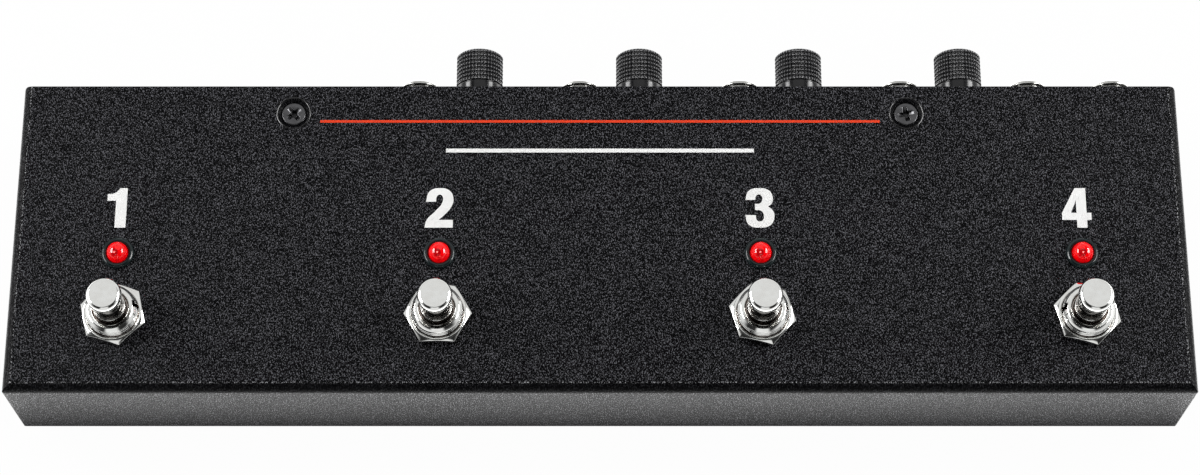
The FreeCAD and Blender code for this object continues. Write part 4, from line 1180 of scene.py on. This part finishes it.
# each figure's outlines as x, y and whether the line bends there, for a height of 1
digitOutlines = [
    [[(0.205, 0, 0), (0.465, 0, 0), (0.465, 1, 0), (0.29, 1, 0), (0.235, 0.925, 1), (0.145, 0.865, 1),
      (0, 0.845, 0), (0, 0.68, 0), (0.205, 0.68, 0)]],
    [[(0, 0, 0), (0.665, 0, 0), (0.665, 0.195, 0), (0.325, 0.195, 0), (0.45, 0.31, 1), (0.61, 0.50, 1),
      (0.67, 0.72, 1), (0.58, 0.93, 1), (0.345, 1, 1), (0.105, 0.92, 1), (0.02, 0.655, 0), (0.26, 0.655, 0),
      (0.285, 0.80, 1), (0.345, 0.835, 1), (0.41, 0.79, 1), (0.405, 0.63, 1), (0.24, 0.41, 1),
      (0.045, 0.19, 1)]],
    [[(0.01, 0.70, 0), (0.09, 0.925, 1), (0.34, 1, 1), (0.585, 0.93, 1), (0.66, 0.745, 1), (0.625, 0.60, 1),
      (0.545, 0.535, 0), (0.65, 0.44, 1), (0.69, 0.29, 1), (0.60, 0.07, 1), (0.345, 0, 1), (0.085, 0.07, 1),
      (0, 0.315, 0), (0.25, 0.315, 0), (0.275, 0.19, 1), (0.345, 0.155, 1), (0.42, 0.20, 1), (0.44, 0.30, 1),
      (0.385, 0.42, 1), (0.235, 0.445, 0), (0.235, 0.60, 0), (0.37, 0.625, 1), (0.41, 0.73, 1),
      (0.39, 0.81, 1), (0.33, 0.84, 1), (0.26, 0.79, 1), (0.245, 0.70, 0)]],
    [[(0.33, 1, 0), (0.585, 1, 0), (0.585, 0.375, 0), (0.695, 0.375, 0), (0.695, 0.195, 0),
      (0.585, 0.195, 0), (0.585, 0, 0), (0.345, 0, 0), (0.345, 0.195, 0), (0, 0.195, 0), (0, 0.37, 0)],
     [(0.345, 0.375, 0), (0.215, 0.375, 0), (0.345, 0.69, 0)]]]
stripes = [
    {"name": "red_line", "half": 67.5, "front": 68.0, "width": 0.65, "material": redInk},
    {"name": "white_line", "half": 37.0, "front": 60.4, "width": 1.0, "material": whiteInk}]


def inkShape(name, outlines, height, material, place):
    curve = bpy.data.curves.new(name, "CURVE")
    curve.dimensions = "2D"
    curve.fill_mode = "BOTH"
    curve.extrude = digits["ink"] * mm
    curve.resolution_u = 10
    for outline in outlines:
        line = curve.splines.new("BEZIER")
        line.bezier_points.add(len(outline) - 1)
        line.use_cyclic_u = True
        for knot, (x, y, curved) in zip(line.bezier_points, outline):
            knot.co = (x * height * mm, y * height * mm, 0)
            knot.handle_left_type = knot.handle_right_type = "AUTO" if curved else "VECTOR"
    drawn = newPiece(name + "Curve", curve)
    mesh = evaluatedMesh(drawn)
    bpy.data.objects.remove(drawn)
    edit = bmesh.new()
    edit.from_mesh(mesh)
    bmesh.ops.remove_doubles(edit, verts=edit.verts, dist=1e-7)
    bmesh.ops.recalc_face_normals(edit, faces=edit.faces)
    edit.to_mesh(mesh)
    edit.free()
    mesh.transform(Matrix.Translation(place))
    return newPiece(name, mesh, material)


def makePrint():
    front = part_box("top_cover")[0].y
    y = front + digits["front"] * mm
    figures = [
        inkShape(f"figure{number}", outlines, digits["height"], whiteInk, (left * mm, y, caseTop))
        for number, outlines, left in zip(channels, digitOutlines, digits["lefts"])]
    settled(joined("channel_numbers", figures), "case", None)
    for stripe in stripes:
        half, wide = stripe["half"], stripe["width"] / 2
        box = [(x, y, 0) for x, y in rectangle(-half, -wide, half, wide)]
        place = (0, front + stripe["front"] * mm, caseTop)
        settled(inkShape(stripe["name"], [box], 1.0, stripe["material"], place), "case", None)


makePrint()
print("printing made")


# The camera looks down from the front, as the photograph does
camera = {"place": (0.0, -0.2396, 0.6542), "tilt": math.radians(20.47), "lens": 83.77, "sensor": 36.0}


# Studio: a pale floor that fades to white, whose reflections carry a painted shadow next to the case and a
# painted pool of light just beyond it, a bright sky with a dark patch around the camera, and softboxes.
# The sky's angles are in degrees: rises over the horizon, and turns from straight in front.
studio = {
    "floorHalf": 3.0, "floorColour": 0.8, "whiteShare": 0.97, "contactLow": 0.0, "contactHigh": 3.4,
    "contactReach": 13.0, "contactEnd": (0.03, 0.12), "farWhite": 1.1,
    "lowSky": 1.0, "middleSky": 0.10, "skyFade": (24.0, 38.0), "frontWall": 1.1, "dark": 0.03,
    "wallFade": (15.0, 27.0), "sectorEdge": (50.0, 75.0), "sectorTop": (44.0, 52.0),
    "sectorFoot": (6.0, 14.0), "rearFade": (0.0, 0.3), "rearTop": (0.12, 0.25),
    "hoodAcross": 0.34, "hoodAlong": 0.19, "hoodHole": 0.03, "aim": (0, 0, 0.03)}
softboxes = {
    "roof": {"radiance": 0.73, "width": 0.60, "length": 0.54, "way": (0, 0.36, 0.93), "distance": 0.62,
             "shift": (0, 0.12, -0.047)},
    "strip": {"radiance": 5.6, "width": 0.80, "length": 0.46, "way": (0.85, 0.10, 0.51), "distance": 0.9,
              "glossy": False},
    "core": {"radiance": 16.0, "width": 0.62, "length": 0.32, "way": (0.85, 0.10, 0.51), "distance": 0.89,
             "diffuse": False}}


def makeFloor():
    s = SimpleNamespace(**studio)
    material = bpy.data.materials.new("pale floor")
    tree = emptied(material)
    diffuse = addNode(tree, "ShaderNodeBsdfDiffuse", {"Color": (s.floorColour,) * 3 + (1,)}).outputs[0]
    low, high = cadBox
    centre, reach = (Vector(low) + Vector(high)) / 2, (Vector(high) - Vector(low)) / 2
    spot = addNode(tree, "ShaderNodeTexCoord").outputs["Object"]
    apart = vectorMaths(tree, "ABSOLUTE", vectorMaths(tree, "SUBTRACT", spot, (centre.x, centre.y, 0)))
    outside = vectorMaths(tree, "SUBTRACT", apart, (reach.x, reach.y, 0))
    distance = vectorMaths(tree, "LENGTH", vectorMaths(tree, "MAXIMUM", outside, (0, 0, 0)))
    # in reflections only: a painted shadow next to the case, rising to a painted pool of light, then back to
    # white
    shade = rescaled(tree, distance, 0.0, s.contactReach * mm, s.contactLow, s.contactHigh)
    shade = times(tree, shade, rescaled(tree, distance, *s.contactEnd, 1.0, s.farWhite / s.contactHigh))
    path = addNode(tree, "ShaderNodeLightPath").outputs
    glossy = maths(tree, "MAXIMUM", path["Is Glossy Ray"], path["Is Transmission Ray"])
    strength = maths(tree, "ADD", times(tree, glossy, shade), path["Is Camera Ray"])
    white = addNode(tree, "ShaderNodeEmission", {"Strength": strength}).outputs[0]
    seen = maths(tree, "ADD", glossy, path["Is Camera Ray"], clamp=True)
    share = times(tree, seen, s.whiteShare)
    mixed = addNode(tree, "ShaderNodeMixShader", {0: share, 1: diffuse, 2: white}).outputs[0]
    addNode(tree, "ShaderNodeOutputMaterial", {"Surface": mixed})
    half = s.floorHalf
    corners = [(x, y, 0) for x, y in rectangle(-half, -half, half, half)]
    meshPiece("studio_floor", corners, [(0, 1, 2, 3)], material)


def makeWorld():
    s = SimpleNamespace(**studio)
    scene.world = bpy.data.worlds.new("studio")
    tree = emptied(scene.world)
    parts = partsOf(tree, addNode(tree, "ShaderNodeTexCoord").outputs["Generated"])
    rise = maths(tree, "DEGREES", maths(tree, "ARCSINE", parts[2]))
    across = maths(tree, "ABSOLUTE", parts[0])
    turn = maths(tree, "DEGREES", maths(tree, "ARCTAN2", across, times(tree, parts[1], -1.0)))
    above = rescaled(tree, rise, *s.skyFade, s.lowSky, s.middleSky, smooth=True)
    # in front, a bright wall with a dark gap to its left and right
    sector = times(tree, falling(tree, turn, *s.sectorEdge), falling(tree, rise, *s.sectorTop))
    sector = times(tree, sector, rising(tree, rise, *s.sectorFoot))
    wall = rescaled(tree, turn, *s.wallFade, s.frontWall, s.dark, smooth=True)
    sky = addNode(tree, "ShaderNodeMix", {0: sector, 2: above, 3: wall}, data_type="FLOAT").outputs[0]
    path = addNode(tree, "ShaderNodeLightPath").outputs
    mirrored = maths(tree, "MAXIMUM", path["Is Glossy Ray"], path["Is Transmission Ray"])
    rear = times(tree, rising(tree, parts[1], *s.rearFade), falling(tree, parts[2], *s.rearTop))
    white = maths(tree, "MAXIMUM", path["Is Camera Ray"], times(tree, mirrored, rear))
    strength = addNode(tree, "ShaderNodeMix", {0: white, 2: sky, 3: 1.0}, data_type="FLOAT").outputs[0]
    background = addNode(tree, "ShaderNodeBackground", {"Strength": strength}).outputs[0]
    addNode(tree, "ShaderNodeOutputWorld", {"Surface": background})


def addSoftbox(name, look, side=1):
    light = bpy.data.lights.new(name, "AREA")
    light.shape = "RECTANGLE"
    light.size, light.size_y = look["width"], look["length"]
    light.energy = look["radiance"] * math.pi * look["width"] * look["length"]
    panel = bpy.data.objects.new(name, light)
    scene.collection.objects.link(panel)
    heading = Vector(look["way"]) * Vector((side, 1, 1))
    panel.location = heading * look["distance"] + Vector(look.get("shift", (0, 0, 0))) + Vector(studio["aim"])
    panel.rotation_euler = heading.to_track_quat("Z", "Y").to_euler()
    panel.visible_diffuse = look.get("diffuse", True)
    panel.visible_glossy = look.get("glossy", True)


def makeHood():
    # a dark screen around the camera, which only reflections see
    s = SimpleNamespace(**studio)
    around = 48
    turns = [2 * math.pi * step / around for step in range(around)]
    points = [(math.cos(turn) * across, math.sin(turn) * along, 0) for across, along in (
        (s.hoodHole, s.hoodHole), (s.hoodAcross, s.hoodAlong)) for turn in turns]
    pairs = [(step, (step + 1) % around) for step in range(around)]
    faces = [(step, after, after + around, step + around) for step, after in pairs]
    material = bpy.data.materials.new("black cloth")
    material.use_nodes = True
    shader = material.node_tree.nodes["Principled BSDF"]
    shader.inputs["Base Color"].default_value = (0.02, 0.02, 0.02, 1)
    shader.inputs["Roughness"].default_value = 0.9
    shader.inputs["Specular IOR Level"].default_value = 0.0
    hood = meshPiece("camera_hood", points, faces, material)
    hood.matrix_world = Matrix.Translation(camera["place"]) @ Matrix.Rotation(camera["tilt"], 4, "X")
    hood.visible_camera = False


def makeCamera():
    lens = bpy.data.cameras.new("camera")
    lens.lens = camera["lens"]
    lens.sensor_width = camera["sensor"]
    lens.clip_start = 0.01
    holder = bpy.data.objects.new("camera", lens)
    scene.collection.objects.link(holder)
    holder.location = camera["place"]
    holder.rotation_euler = (camera["tilt"], 0, 0)
    scene.camera = holder


makeFloor()
makeWorld()
makeHood()
addSoftbox("roof", softboxes["roof"])
for side in (-1, 1):
    addSoftbox(f"strip{side + 2}", softboxes["strip"], side)
    addSoftbox(f"core{side + 2}", softboxes["core"], side)
makeCamera()
scene.view_settings.view_transform = "Standard"
print("studio and camera made")
